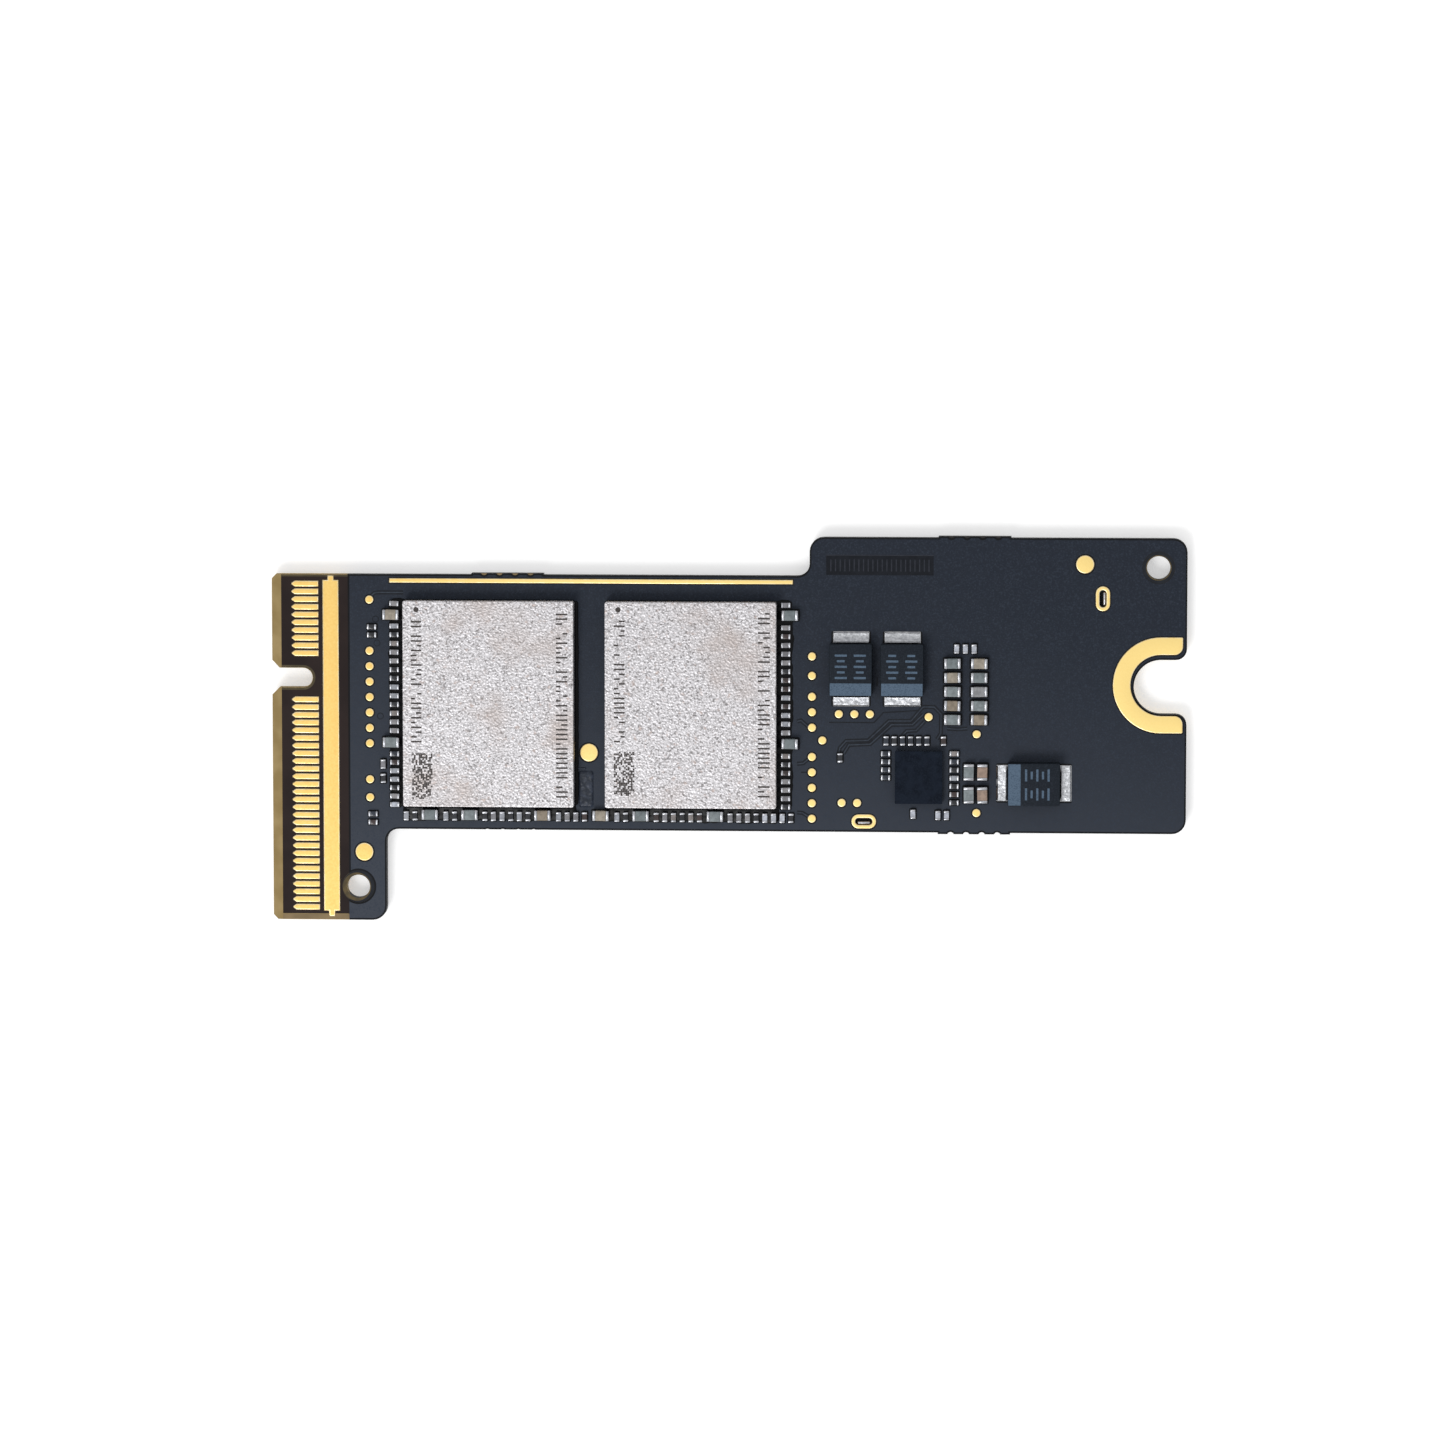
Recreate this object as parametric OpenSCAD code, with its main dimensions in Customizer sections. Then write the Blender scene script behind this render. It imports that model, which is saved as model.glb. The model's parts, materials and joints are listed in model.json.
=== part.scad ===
// Bare solid state drive module: a stepped circuit board with a card edge on a
// tongue at one end, two shielded flash packages, a power section and a forked
// hold-down at the other end. Everything is drawn in the datum of the board's
// artwork, with X from the nominal tip of the card edge, Y from the nominal lower
// side of the tongue and Z from the board's back. The routed outline lies a little
// off that datum, and place() moves everything to the part's origin.

/* [Board] */
// Length over the card edge and the hold-down end
board_l = 59; // [58:0.5:61]
// Width over the tongue's lower side and the wide part's upper side
board_w = 24.95; // [24.5:0.05:26]
// Thickness over both layers of solder mask
board_t = 0.8; // [0.7:0.05:1]
// Thickness of each layer of solder mask, and of the contacts beside it
mask_t = 0.03; // [0.02:0.01:0.04]
// Length of the tongue, measured to the side of its foot
tongue_l = 7.4; // [7:0.1:8]
// Height of the neck's lower side above the tongue's lower side
neck_low = 5.95; // [5.5:0.05:6.2]
// Height of the neck's upper side above the tongue's lower side
neck_high = 22.45; // [22.3:0.05:22.6]
// Where the board steps out to its full width
shoulder_x = 34.8; // [34.5:0.1:35]
// Radius of the outer corners
corner_r = 0.9; // [0.5:0.1:1]
// Radius of the two inner corners
inner_r = 0.8; // [0.5:0.1:0.9]

/* [Card edge] */
// Distance from one contact to the next
contact_pitch = 0.5; // [0.5:0.1:0.5]
// Width of a contact
contact_w = 0.39; // [0.3:0.01:0.42]
// Contact positions, counting those that the key takes up
contact_places = 43; // [41:1:43]
// First and last position that the key takes up
key_places = [10, 14];
// Width of the key notch
key_w = 1.25; // [1:0.05:1.4]
// Depth of the key notch
key_depth = 2.65; // [2.3:0.05:2.7]

/* [Hold-down] */
// Width of the slot for the screw
slot_w = 3.5; // [3.2:0.1:3.6]
// Inner and outer radius of the contact ring round it
ring_r = [1.95, 3.1];
// Diameter of the two tooling holes
tooling_d = 1.5; // [1.3:0.1:1.6]

/* [Flash packages] */
// Length along X and Y of one package
flash_size = [11.04, 13.3];
// Height of a package above the board
flash_h = 1.15; // [1:0.05:1.4]
// Height of the solder balls under a package
ball_h = 0.22; // [0.15:0.01:0.3]
// Thickness of the metal shield on a package
shield_t = 0.03; // [0.02:0.01:0.05]

/* [Power section] */
// Length along X and Y of the power chip
chip_size = [3.04, 3.4];
// Height of the power chip above the board
chip_h = 0.6; // [0.5:0.05:0.8]
// Width, length and height of an inductor's core
core_size = [2.75, 3.36, 1.2];
// Length of an inductor over its terminals
inductor_l = 4.62; // [4.6:0.02:5]

/* [Passives] */
// Length, width and height of a large capacitor
large_cap = [1.08, 0.66, 0.55];
// Length, width and height of a small capacitor
small_cap = [0.62, 0.34, 0.3];
// Length, width and height of a resistor
resistor = [0.62, 0.34, 0.24];

/* [Hidden] */

// Colours
solder_mask = "#2a2f38";
laminate = "#8d7c50";
copper = "#6b4a3a";
gold = "#f3cf78";
tin = "#c9c9cc";
black = "#20252b";
ceramic_grey = "#8b908c";
ceramic_tan = "#8f7f69";

// Corner arcs are drawn as polygons with this many steps
arc_steps = 6;
// The long arcs of the slot and the ring have more
long_arc_steps = 28;

// How far the routed outline lies off the artwork
routing = [-0.06, -0.08];

// Board build-up
plane_t = 0.03;
prepreg_t = 0.1;
laminate_top = board_t - mask_t;
plane_top = laminate_top - prepreg_t;
plane_base = plane_top - plane_t;
plane_inset = 0.16;
plane_key_inset = 0.18;
tip_inset = 0.64;
tip_chamfer = 0.3;
bevel = [0.6, 0.2];

// Card edge
contact_x = [1.24, 1.46, 2.99];
contact_tip_w = 0.1;
contact_mid_y = 11.24;
key_y = contact_mid_y + (contact_places - 1 - key_places[0] - key_places[1]) / 2 * contact_pitch;
key_lead = 0.5;
window_end = 4.9;
bar_x = [3.25, 4.3];
bar_y = [0.49, 21.99];
bar_tab_x = 3.78;
bar_tab_w = 0.39;
bar_tab_y = [0.13, 22.28];
strip_x = [7.58, 33.67];
strip_y = [21.82, 22.13];

// Hold-down and holes
slot_at = [board_l - 1.64, 15.42];
mouth_r = 0.7;
ring_at = [board_l - 1.7, 15.45];
ring_gap = 0.3;
ring_mouth_r = 0.55;
ring_corner_r = 0.1;
ring_end = board_l - ring_gap;
tooling_at = [[5.5, 2.1], [board_l - 1.9, 23]];
tooling_keepout_r = 1.05;

// Plated slots: centre, turn, and the inner and outer size of the collar
slot_places = [[53.55, 21, 90], [38.25, 6.55, 0]];
slot_inner = [1.1, 0.44];
slot_outer = [1.62, 0.94];
barrel_wall = 0.05;

// Breakaway stubs that are left where the board was snapped out of its panel. A place is x,
// the edge, its side, and 1 where the bites go through the board or 0 where only the top mask is bitten
stub_size = [4.65, 0.1];
stub_root = 0.2;
stub_bites = 4;
stub_bite_pitch = 1;
stub_bite_r = 0.22;
stub_bite_y = 0.18;
stub_places = [[15.3, neck_high, 1, 0], [45.4, board_w, 1, 0], [45.4, neck_low, -1, 1]];
flush_stub_place = [15.47, neck_low, -1, 1];

// Round pads
pad_r = 0.275;
fiducial_r = 0.59;
fiducial_at = [[5.9, 4.36], [52.4, 23.2], [20.5, 10.9]];
left_pad_x = 6.29;
left_pad_y = [20.73, 17.42, 16.42, 15.42, 14.42, 13.42, 12.42, 11.42, 9.08, 7.91];
right_pad_x = 34.9;
right_pad_y = [17.2, 15.95, 14.6, 13.6, 12.6, 10.71, 9.71, 8.71, 7.71, 6.71];
other_pads = [
    [35.57, 11.78], [36.63, 13.49], [37.63, 13.49], [38.63, 13.49], [42.41, 13.33],
    [45.5, 12.24], [45.5, 7.15], [36.82, 7.75], [37.82, 7.75],
];
top_pads = concat(
    [for (y = left_pad_y) [left_pad_x, y]],
    [for (y = right_pad_y) [right_pad_x, y]],
    other_pads
);
back_pads = concat(
    [for (i = [0:6]) [8.4 + i * 1.2, 20.9]],
    [for (i = [0:4]) [36.4, 8.2 + i * 1.1]],
    [for (i = [0:3]) [47.2 + i * 1.1, 19.6]]
);

// Shallow recess in the mask that carries the board's marking
mark_panel = [[35.8, 22.45], [42.7, 23.7]];
mark_depth = 0.015;

// Flash packages
flash_at = [[14.08, 14.09], [27.13, 14.08]];
flash_r = 0.14;
substrate_t = 0.2;
die_stack_size = [8.8, 11.2, 0.48];
flash_balls = [9, 11];
flash_ball_pitch = [1, 1.1];
flash_ball_d = 0.42;
underfill_w = 0.18;
underfill_h = 0.34;

// Power chip
chip_at = [41.79, 9.47];
coating_t = 0.04;
chip_ball_h = 0.18;
chip_balls = [7, 7];
chip_ball_pitch = [0.4, 0.45];
chip_ball_d = 0.24;

// Inductors: centre and turn
inductor_at = [[37.42, 16.41, 0], [40.72, 16.41, 0], [49.19, 9.1, -90]];
terminal_w = 2.26;
terminal_t = 0.14;
terminal_rise = 0.75;
coil_outer = [2.2, 2.8];
coil_inner = [0.9, 1.4];
coil_z = [0.1, 0.95];
coil_wall = 0.02;
core_r = 0.12;
coil_r = [0.5, 0.25];

// Passives: every entry is x, y and turn
large_end = 0.22;
small_end = 0.15;
end_lip = 0.01;
column_x = [7.92, 33.22];
column_top_y = 20.5;
column_run = [19.05, 0.565, 13];
column_run_low = [10.76, 0.548, 7];
row_y = 6.75;
row_large_y = 6.84;
row_pitch = 0.56;
row_runs = [[8.66, 2], [11.23, 2], [13.76, 6], [18.54, 4], [22.32, 2], [24.86, 6], [29.64, 8]];
row_length = [for (run = row_runs) run[1]];
grid_x = [43.94, 45.66];
grid_y = [16.81, 0.905, 5];

// Which of a run are resistors: 1 is a resistor and 0 a capacitor
column_kinds = [
    [0, 1, 0, 0, 0, 1, 1, 0, 0, 1, 0, 0, 0],
    [0, 1, 0, 0, 0, 1, 1, 1, 0, 1, 0, 0, 0],
];
column_low_kinds = [
    [1, 1, 0, 0, 1, 0, 0],
    [0, 1, 1, 0, 0, 0, 1],
];
row_kinds = [
    [0, 1], [0, 1], [1, 0, 0, 1, 0, 1], [0, 0, 0, 1], [0, 1],
    [1, 0, 0, 1, 0, 1], [0, 0, 0, 1, 0, 0, 0, 1],
];

function column_parts(kind) = [
    for (c = [0, 1])
        for (i = [0:column_run[2] - 1])
            if (column_kinds[c][i] == kind) [column_x[c], column_run[0] - i * column_run[1], 0]
];
function column_low_parts(kind) = [
    for (c = [0, 1])
        for (i = [0:column_run_low[2] - 1])
            if (column_low_kinds[c][i] == kind)
                [column_x[c], column_run_low[0] - i * column_run_low[1], 0]
];
function row_parts(kind) = [
    for (r = [0:len(row_runs) - 1])
        for (i = [0:row_length[r] - 1])
            if (row_kinds[r][i] == kind) [row_runs[r][0] + i * row_pitch, row_y, 90]
];

small_caps_at = concat(
    column_parts(0), column_low_parts(0), row_parts(0),
    [for (x = column_x) [x, column_top_y, 0]],
    [for (x = [44.2, 44.76, 45.32]) [x, 17.75, 90]],
    [[7.17, 10.1, 90], [41.42, 7.07, 90], [43.03, 7, 90], [43.58, 7, 90]],
    [[44.07, 10.99, 0], [44.07, 9.41, 0]]
);
resistors_at = concat(
    column_parts(1), column_low_parts(1), row_parts(1),
    [[36.72, 10.68, 90], [7.17, 9.17, 90], [6.46, 18.98, 0], [6.46, 18.46, 0], [6.5, 6.85, 0], [6.5, 6.31, 0]],
    [for (i = [0:3]) [39.66, 10.96 - i * 0.517, 0]],
    [for (i = [0:5]) [39.68 + i * 0.526, 11.8, 90]],
    [[43.37, 11.8, 90]],
    [for (i = [1, 2, 4, 5, 6]) [44.07, 10.99 - i * 0.528, 0]]
);
large_grey_at = concat(
    [[7.71, 11.52, 0], [33.49, 19.85, 0], [33.49, 11.57, 0]],
    [for (x = [10.21, 12.79, 23.87, 28.67]) [x, row_large_y, 0]],
    [for (i = [0, 2, 4]) [grid_x[0], grid_y[0] - i * grid_y[1], 0]],
    [for (i = [1, 2, 3]) [grid_x[1], grid_y[0] - i * grid_y[1], 0]],
    [[45.01, 9.82, 90], [45.01, 8.34, 90]]
);
large_tan_at = concat(
    [[7.71, 19.79, 0], [17.51, row_large_y, 0], [21.28, row_large_y, 0]],
    [for (i = [1, 3]) [grid_x[0], grid_y[0] - i * grid_y[1], 0]],
    [for (i = [0, 4]) [grid_x[1], grid_y[0] - i * grid_y[1], 0]],
    [[45.88, 9.82, 90], [45.88, 8.34, 90]]
);
// The parts on the back stand for a side that is seldom seen
back_caps_at = concat(
    [for (x = [11.2, 16.9, 24.3, 30]) for (y = [10.2, 17.6]) [x, y, 90]],
    [for (i = [0:3]) [40.4, 8.2 + i * 1.1, 0]],
    [for (i = [0:2]) [43.2, 14.6 + i * 1.1, 0]],
    [[50.6, 9.4, 90], [52, 9.4, 90]]
);

function arc(centre, r, from, to, steps = arc_steps) = [
    for (i = [0:steps])
        let (a = from + (to - from) * i / steps)
            [centre[0] + r * cos(a), centre[1] + r * sin(a)]
];

// The board's outline, drawn in by "inset" on every side, by "tip" at the card edge
// and by "key" round the key notch
function outline(inset = 0, tip = 0, key = 0) =
    let (
        key_half = key_w / 2 + key,
        key_end = key_depth + key,
        lead = tip > 0 ? 0 : key_lead,
        chamfer = tip > 0 ? 0 : tip_chamfer,
        slot_half = slot_w / 2 + inset,
        right = board_l - inset,
        corner = corner_r - inset,
        foot = inner_r + inset,
        mouth = mouth_r - inset,
        foot_x = tongue_l - inset,
        low = neck_low + inset,
        high = neck_high - inset,
        top = board_w - inset,
        shoulder = shoulder_x + inset
    )
    concat(
        [[tip, inset + chamfer], [tip + chamfer, inset]],
        arc([foot_x - corner, inset + corner], corner, -90, 0),
        arc([foot_x + foot, low - foot], foot, 180, 90),
        arc([right - corner, low + corner], corner, -90, 0),
        arc([right - mouth, slot_at[1] - slot_half - mouth], mouth, 0, 90),
        arc(slot_at, slot_half, -90, -270, long_arc_steps),
        arc([right - mouth, slot_at[1] + slot_half + mouth], mouth, -90, 0),
        arc([right - corner, top - corner], corner, 0, 90),
        arc([shoulder + corner, top - corner], corner, 90, 180),
        arc([shoulder - foot, high + foot], foot, 0, -90),
        [[tip + chamfer, high], [tip, high - chamfer]],
        [[tip, key_y + key_half + lead], [tip + lead, key_y + key_half]],
        arc([key_end - key_half, key_y], key_half, 90, -90, 2 * arc_steps),
        [[tip + lead, key_y - key_half], [tip, key_y - key_half - lead]]
    );

// The part's origin is the centre of its box, at the foot of the parts on the back
module place() {
    mid = [board_l / 2 + routing[0], (board_w + stub_size[1]) / 2 + routing[1]];
    translate([-mid[0], -mid[1], large_cap[2]]) children();
}

module plate(low, high) {
    translate([0, 0, low]) linear_extrude(height = high - low) children();
}

// A flat obround with its long side along X, as a polygon
module obround(size) {
    half = (size[0] - size[1]) / 2;
    polygon(concat(
        arc([half, 0], size[1] / 2, -90, 90, 2 * arc_steps),
        arc([-half, 0], size[1] / 2, 90, 270, 2 * arc_steps)
    ));
}

module rounded(size, r) {
    x = size[0] / 2 - r;
    y = size[1] / 2 - r;
    polygon(concat(
        arc([x, y], r, 0, 90),
        arc([-x, y], r, 90, 180),
        arc([-x, -y], r, 180, 270),
        arc([x, -y], r, 270, 360)
    ));
}

module stubs() {
    for (place = stub_places) {
        low = place[2] > 0 ? stub_root : stub_size[1];
        translate([place[0] - stub_size[0] / 2, place[1] - low]) square([stub_size[0], stub_root + stub_size[1]]);
    }
}

module bites(in_mask) {
    for (place = concat(stub_places, [flush_stub_place])) {
        if (in_mask || place[3] == 1) {
            for (i = [0:stub_bites - 1]) {
                x = place[0] + (i - (stub_bites - 1) / 2) * stub_bite_pitch;
                translate([x, place[1] + place[2] * stub_bite_y]) circle(r = stub_bite_r, $fn = 12);
            }
        }
    }
}

module tooling_holes(r) {
    for (at = tooling_at) translate([at[0], at[1], -1]) cylinder(h = board_t + 2, r = r, $fn = 48);
}

module slot_openings(size, low, high) {
    for (at = slot_places) {
        plate(low, high) translate([at[0], at[1]]) rotate(at[2]) obround(size);
    }
}

module barrel_holes() {
    grown = [slot_inner[0] + 2 * barrel_wall, slot_inner[1] + 2 * barrel_wall];
    slot_openings(grown, -1, board_t + 1);
}

// The two bevels that lead the card edge into its socket
module tip_bevels() {
    for (side = [-1, 1]) {
        face = side < 0 ? mask_t : laminate_top;
        translate([routing[0], board_w + 1, 0]) rotate([90, 0, 0]) linear_extrude(height = board_w + 2) {
            polygon([
                [-1, face - side * bevel[1]], [0, face - side * bevel[1]],
                [bevel[0], face], [bevel[0], face + side], [-1, face + side],
            ]);
        }
    }
}

module core_shape(in_mask = false) {
    translate(routing) difference() {
        union() {
            polygon(outline());
            stubs();
        }
        bites(in_mask);
    }
}

module plane_shape() {
    translate(routing) polygon(outline(plane_inset, tip_inset, plane_key_inset));
}

module laminate_lower() {
    color(laminate) place() difference() {
        plate(mask_t, plane_top) core_shape();
        plate(plane_base, board_t) plane_shape();
        tip_bevels();
        tooling_holes(tooling_d / 2);
        barrel_holes();
    }
    color(laminate) place() difference() {
        plate(plane_base, plane_top) union() {
            for (at = tooling_at) translate(at) circle(r = tooling_keepout_r, $fn = 48);
            for (at = slot_places) translate([at[0], at[1]]) rotate(at[2]) obround(slot_outer);
        }
        tooling_holes(tooling_d / 2);
        barrel_holes();
    }
}

module inner_copper_plane() {
    color(copper) place() difference() {
        plate(plane_base, plane_top) plane_shape();
        tooling_holes(tooling_keepout_r);
        slot_openings(slot_outer, -1, board_t + 1);
    }
}

module laminate_upper() {
    color(laminate) place() difference() {
        plate(plane_top, laminate_top) core_shape();
        tip_bevels();
        tooling_holes(tooling_d / 2);
        barrel_holes();
    }
}

module mask_openings(pads) {
    translate([-1, -1, -1]) cube([window_end + 1, board_w + 2, board_t + 2]);
    tooling_holes(tooling_keepout_r);
    plate(-1, board_t + 1) polygon(ring_points());
    for (at = pads) translate([at[0], at[1], -1]) cylinder(h = board_t + 2, r = pad_r, $fn = 32);
}

module solder_mask_top() {
    color(solder_mask) place() difference() {
        plate(laminate_top, board_t) core_shape(true);
        mask_openings(top_pads);
        slot_openings(slot_outer, -1, board_t + 1);
        for (at = fiducial_at) {
            translate([at[0], at[1], 0]) cylinder(h = board_t + 1, r = fiducial_r, $fn = 48);
        }
        translate([strip_x[0], strip_y[0], 0]) {
            cube([strip_x[1] - strip_x[0], strip_y[1] - strip_y[0], board_t + 1]);
        }
        translate([mark_panel[0][0], mark_panel[0][1], board_t - mark_depth]) {
            cube([mark_panel[1][0] - mark_panel[0][0], mark_panel[1][1] - mark_panel[0][1], 1]);
        }
    }
}

// The mask on the back runs on over the plated slots and closes them
module solder_mask_bottom() {
    color(solder_mask) place() difference() {
        plate(0, mask_t) core_shape();
        mask_openings(back_pads);
    }
}

// One contact, pointing towards the tip of the card edge
module contact() {
    half = contact_w / 2;
    polygon([
        [contact_x[0], -contact_tip_w / 2], [contact_x[1], -half],
        [contact_x[2], -half], [contact_x[2], half],
        [contact_x[1], half], [contact_x[0], contact_tip_w / 2],
    ]);
}

module contacts() {
    for (i = [0:contact_places - 1]) {
        if (i < key_places[0] || i > key_places[1]) {
            y = contact_mid_y + ((contact_places - 1) / 2 - i) * contact_pitch;
            translate([0, y]) contact();
        }
    }
}

module edge_contacts_top() {
    color(gold) place() plate(laminate_top, board_t) contacts();
}

module edge_contacts_bottom() {
    color(gold) place() plate(0, mask_t) contacts();
}

module bar() {
    left = bar_tab_x - bar_tab_w / 2;
    right = bar_tab_x + bar_tab_w / 2;
    polygon([
        [bar_x[0], bar_y[0]], [left, bar_y[0]], [left, bar_tab_y[0]], [right, bar_tab_y[0]],
        [right, bar_y[0]], [bar_x[1], bar_y[0]], [bar_x[1], bar_y[1]], [right, bar_y[1]],
        [right, bar_tab_y[1]], [left, bar_tab_y[1]], [left, bar_y[1]], [bar_x[0], bar_y[1]],
    ]);
}

module ground_bar_top() {
    color(gold) place() plate(laminate_top, board_t) bar();
}

module ground_bar_bottom() {
    color(gold) place() plate(0, mask_t) bar();
}

module shield_strip() {
    color(gold) place() translate([strip_x[0], strip_y[0], laminate_top]) {
        cube([strip_x[1] - strip_x[0], strip_y[1] - strip_y[0], mask_t]);
    }
}

// The forked ring, with its inner corners rounded at the mouth of the slot
function ring_points() = concat(
    arc([ring_end - ring_corner_r, ring_at[1] - ring_r[1] + ring_corner_r], ring_corner_r, 0, -90),
    arc(ring_at, ring_r[1], -90, -270, long_arc_steps),
    arc([ring_end - ring_corner_r, ring_at[1] + ring_r[1] - ring_corner_r], ring_corner_r, 90, 0),
    arc([ring_end - ring_mouth_r, ring_at[1] + ring_r[0] + ring_mouth_r], ring_mouth_r, 0, -90),
    arc(ring_at, ring_r[0], 90, 270, long_arc_steps),
    arc([ring_end - ring_mouth_r, ring_at[1] - ring_r[0] - ring_mouth_r], ring_mouth_r, 90, 0)
);

module hold_down_ring_top() {
    color(gold) place() plate(laminate_top, board_t) polygon(ring_points());
}

module hold_down_ring_bottom() {
    color(gold) place() plate(0, mask_t) polygon(ring_points());
}

module pads(places, r, low, high) {
    for (at = places) {
        translate([at[0], at[1], low]) cylinder(h = high - low, r = r, $fn = 32);
    }
}

module test_pads_top() {
    color(gold) place() pads(top_pads, pad_r, laminate_top, board_t);
}

module test_pads_bottom() {
    color(gold) place() pads(back_pads, pad_r, 0, mask_t);
}

module fiducials() {
    color(gold) place() pads(fiducial_at, fiducial_r, laminate_top, board_t);
}

// A plated slot is a barrel through the laminate with a collar on the top face
module plated_slots() {
    grown = [slot_inner[0] + 2 * barrel_wall, slot_inner[1] + 2 * barrel_wall];
    color(gold) place() for (at = slot_places) {
        translate([at[0], at[1], 0]) rotate(at[2]) difference() {
            union() {
                plate(mask_t, board_t) obround(grown);
                plate(laminate_top, board_t) obround(slot_outer);
            }
            plate(-1, board_t + 1) obround(slot_inner);
        }
    }
}

// A grid of solder balls standing on the board, each drawn as a short drum
module balls(at, count, pitch, d, h) {
    for (i = [0:count[0] - 1]) {
        for (j = [0:count[1] - 1]) {
            x = at[0] + (i - (count[0] - 1) / 2) * pitch[0];
            y = at[1] + (j - (count[1] - 1) / 2) * pitch[1];
            translate([x, y, board_t]) cylinder(h = h, d = d, $fn = 8);
        }
    }
}

// A package's inside, without its shield
module flash_block(k, low, high) {
    inner = [flash_size[0] - 2 * shield_t, flash_size[1] - 2 * shield_t];
    plate(low, high) translate(flash_at[k]) rounded(inner, flash_r - shield_t);
}

module flash_solder_balls(k) {
    color(tin) place() balls(flash_at[k], flash_balls, flash_ball_pitch, flash_ball_d, ball_h);
}

module flash_substrate(k) {
    base = board_t + ball_h;
    color("#24402f") place() flash_block(k, base, base + substrate_t);
}

module die_box(k) {
    base = board_t + ball_h + substrate_t;
    translate([flash_at[k][0], flash_at[k][1], base + die_stack_size[2] / 2]) {
        cube(die_stack_size, center = true);
    }
}

module flash_die_stack(k) {
    color("#5b6070") place() die_box(k);
}

module flash_mould(k) {
    base = board_t + ball_h + substrate_t;
    color(black) place() difference() {
        flash_block(k, base, board_t + flash_h - shield_t);
        die_box(k);
    }
}

module flash_shield(k) {
    base = board_t + ball_h;
    color("#b9b6b3") place() difference() {
        plate(base, board_t + flash_h) translate(flash_at[k]) rounded(flash_size, flash_r);
        flash_block(k, base - 1, board_t + flash_h - shield_t);
    }
}

// The bead of underfill that shows round the foot of a package
module flash_underfill(k) {
    outer = [flash_size[0] + 2 * underfill_w, flash_size[1] + 2 * underfill_w];
    color("#101216") place() difference() {
        plate(board_t, board_t + underfill_h) translate(flash_at[k]) {
            rounded(outer, flash_r + underfill_w);
        }
        plate(board_t - 1, board_t + 1) translate(flash_at[k]) rounded(flash_size, flash_r);
    }
}

module power_chip_solder_balls() {
    color(tin) place() balls(chip_at, chip_balls, chip_ball_pitch, chip_ball_d, chip_ball_h);
}

module power_chip_die() {
    color("#3c4250") place() plate(board_t + chip_ball_h, board_t + chip_h - coating_t) {
        translate(chip_at) square(chip_size, center = true);
    }
}

module power_chip_coating() {
    color(black) place() plate(board_t + chip_h - coating_t, board_t + chip_h) {
        translate(chip_at) square(chip_size, center = true);
    }
}

module at_inductor(k) {
    translate([inductor_at[k][0], inductor_at[k][1], board_t]) rotate(inductor_at[k][2]) children();
}

// The core is a pressed block with a ring-shaped pocket for the coil, open at its foot
module inductor_core(k) {
    grown = [coil_outer[0] + 2 * coil_wall, coil_outer[1] + 2 * coil_wall];
    shrunk = [coil_inner[0] - 2 * coil_wall, coil_inner[1] - 2 * coil_wall];
    color(black) place() at_inductor(k) difference() {
        plate(0, core_size[2]) rounded([core_size[0], core_size[1]], core_r);
        plate(-1, coil_z[1] + coil_wall) difference() {
            rounded(grown, coil_r[0]);
            rounded(shrunk, coil_r[1]);
        }
    }
}

module inductor_coil(k) {
    color("#b4713c") place() at_inductor(k) plate(coil_z[0], coil_z[1]) difference() {
        rounded(coil_outer, coil_r[0]);
        rounded(coil_inner, coil_r[1]);
    }
}

// Each end has a foot on the board and a leg that rises against the core
module inductor_terminals(k) {
    color(tin) place() at_inductor(k) for (side = [0, 1]) {
        rotate(180 * side) translate([-terminal_w / 2, core_size[1] / 2, 0]) {
            cube([terminal_w, terminal_t, terminal_rise]);
            cube([terminal_w, (inductor_l - core_size[1]) / 2, terminal_t]);
        }
    }
}

// The middle of a chip component, between its two ends
module chip_body(places, size, cap, z = board_t, flip = 1) {
    for (at = places) {
        translate([at[0], at[1], z]) rotate(at[2]) {
            translate([cap - size[0] / 2, end_lip - size[1] / 2, flip > 0 ? 0 : -size[2] + end_lip]) {
                cube([size[0] - 2 * cap, size[1] - 2 * end_lip, size[2] - end_lip]);
            }
        }
    }
}

// The two metal ends of a chip component
module chip_ends(places, size, cap, z = board_t, flip = 1) {
    for (at = places) {
        translate([at[0], at[1], z]) rotate(at[2]) {
            for (x = [-size[0] / 2, size[0] / 2 - cap]) {
                translate([x, -size[1] / 2, flip > 0 ? 0 : -size[2]]) cube([cap, size[1], size[2]]);
            }
        }
    }
}

module large_capacitors_grey() {
    color(ceramic_grey) place() chip_body(large_grey_at, large_cap, large_end);
}

module large_capacitors_tan() {
    color(ceramic_tan) place() chip_body(large_tan_at, large_cap, large_end);
}

module large_capacitor_terminals() {
    color(tin) place() chip_ends(concat(large_grey_at, large_tan_at), large_cap, large_end);
}

module small_capacitors() {
    color(ceramic_tan) place() chip_body(small_caps_at, small_cap, small_end);
}

module small_capacitor_terminals() {
    color(tin) place() chip_ends(small_caps_at, small_cap, small_end);
}

module resistors() {
    color(black) place() chip_body(resistors_at, resistor, small_end);
}

module resistor_terminals() {
    color(tin) place() chip_ends(resistors_at, resistor, small_end);
}

module back_capacitors() {
    color(ceramic_grey) place() chip_body(back_caps_at, large_cap, large_end, 0, -1);
}

module back_capacitor_terminals() {
    color(tin) place() chip_ends(back_caps_at, large_cap, large_end, 0, -1);
}

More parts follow.
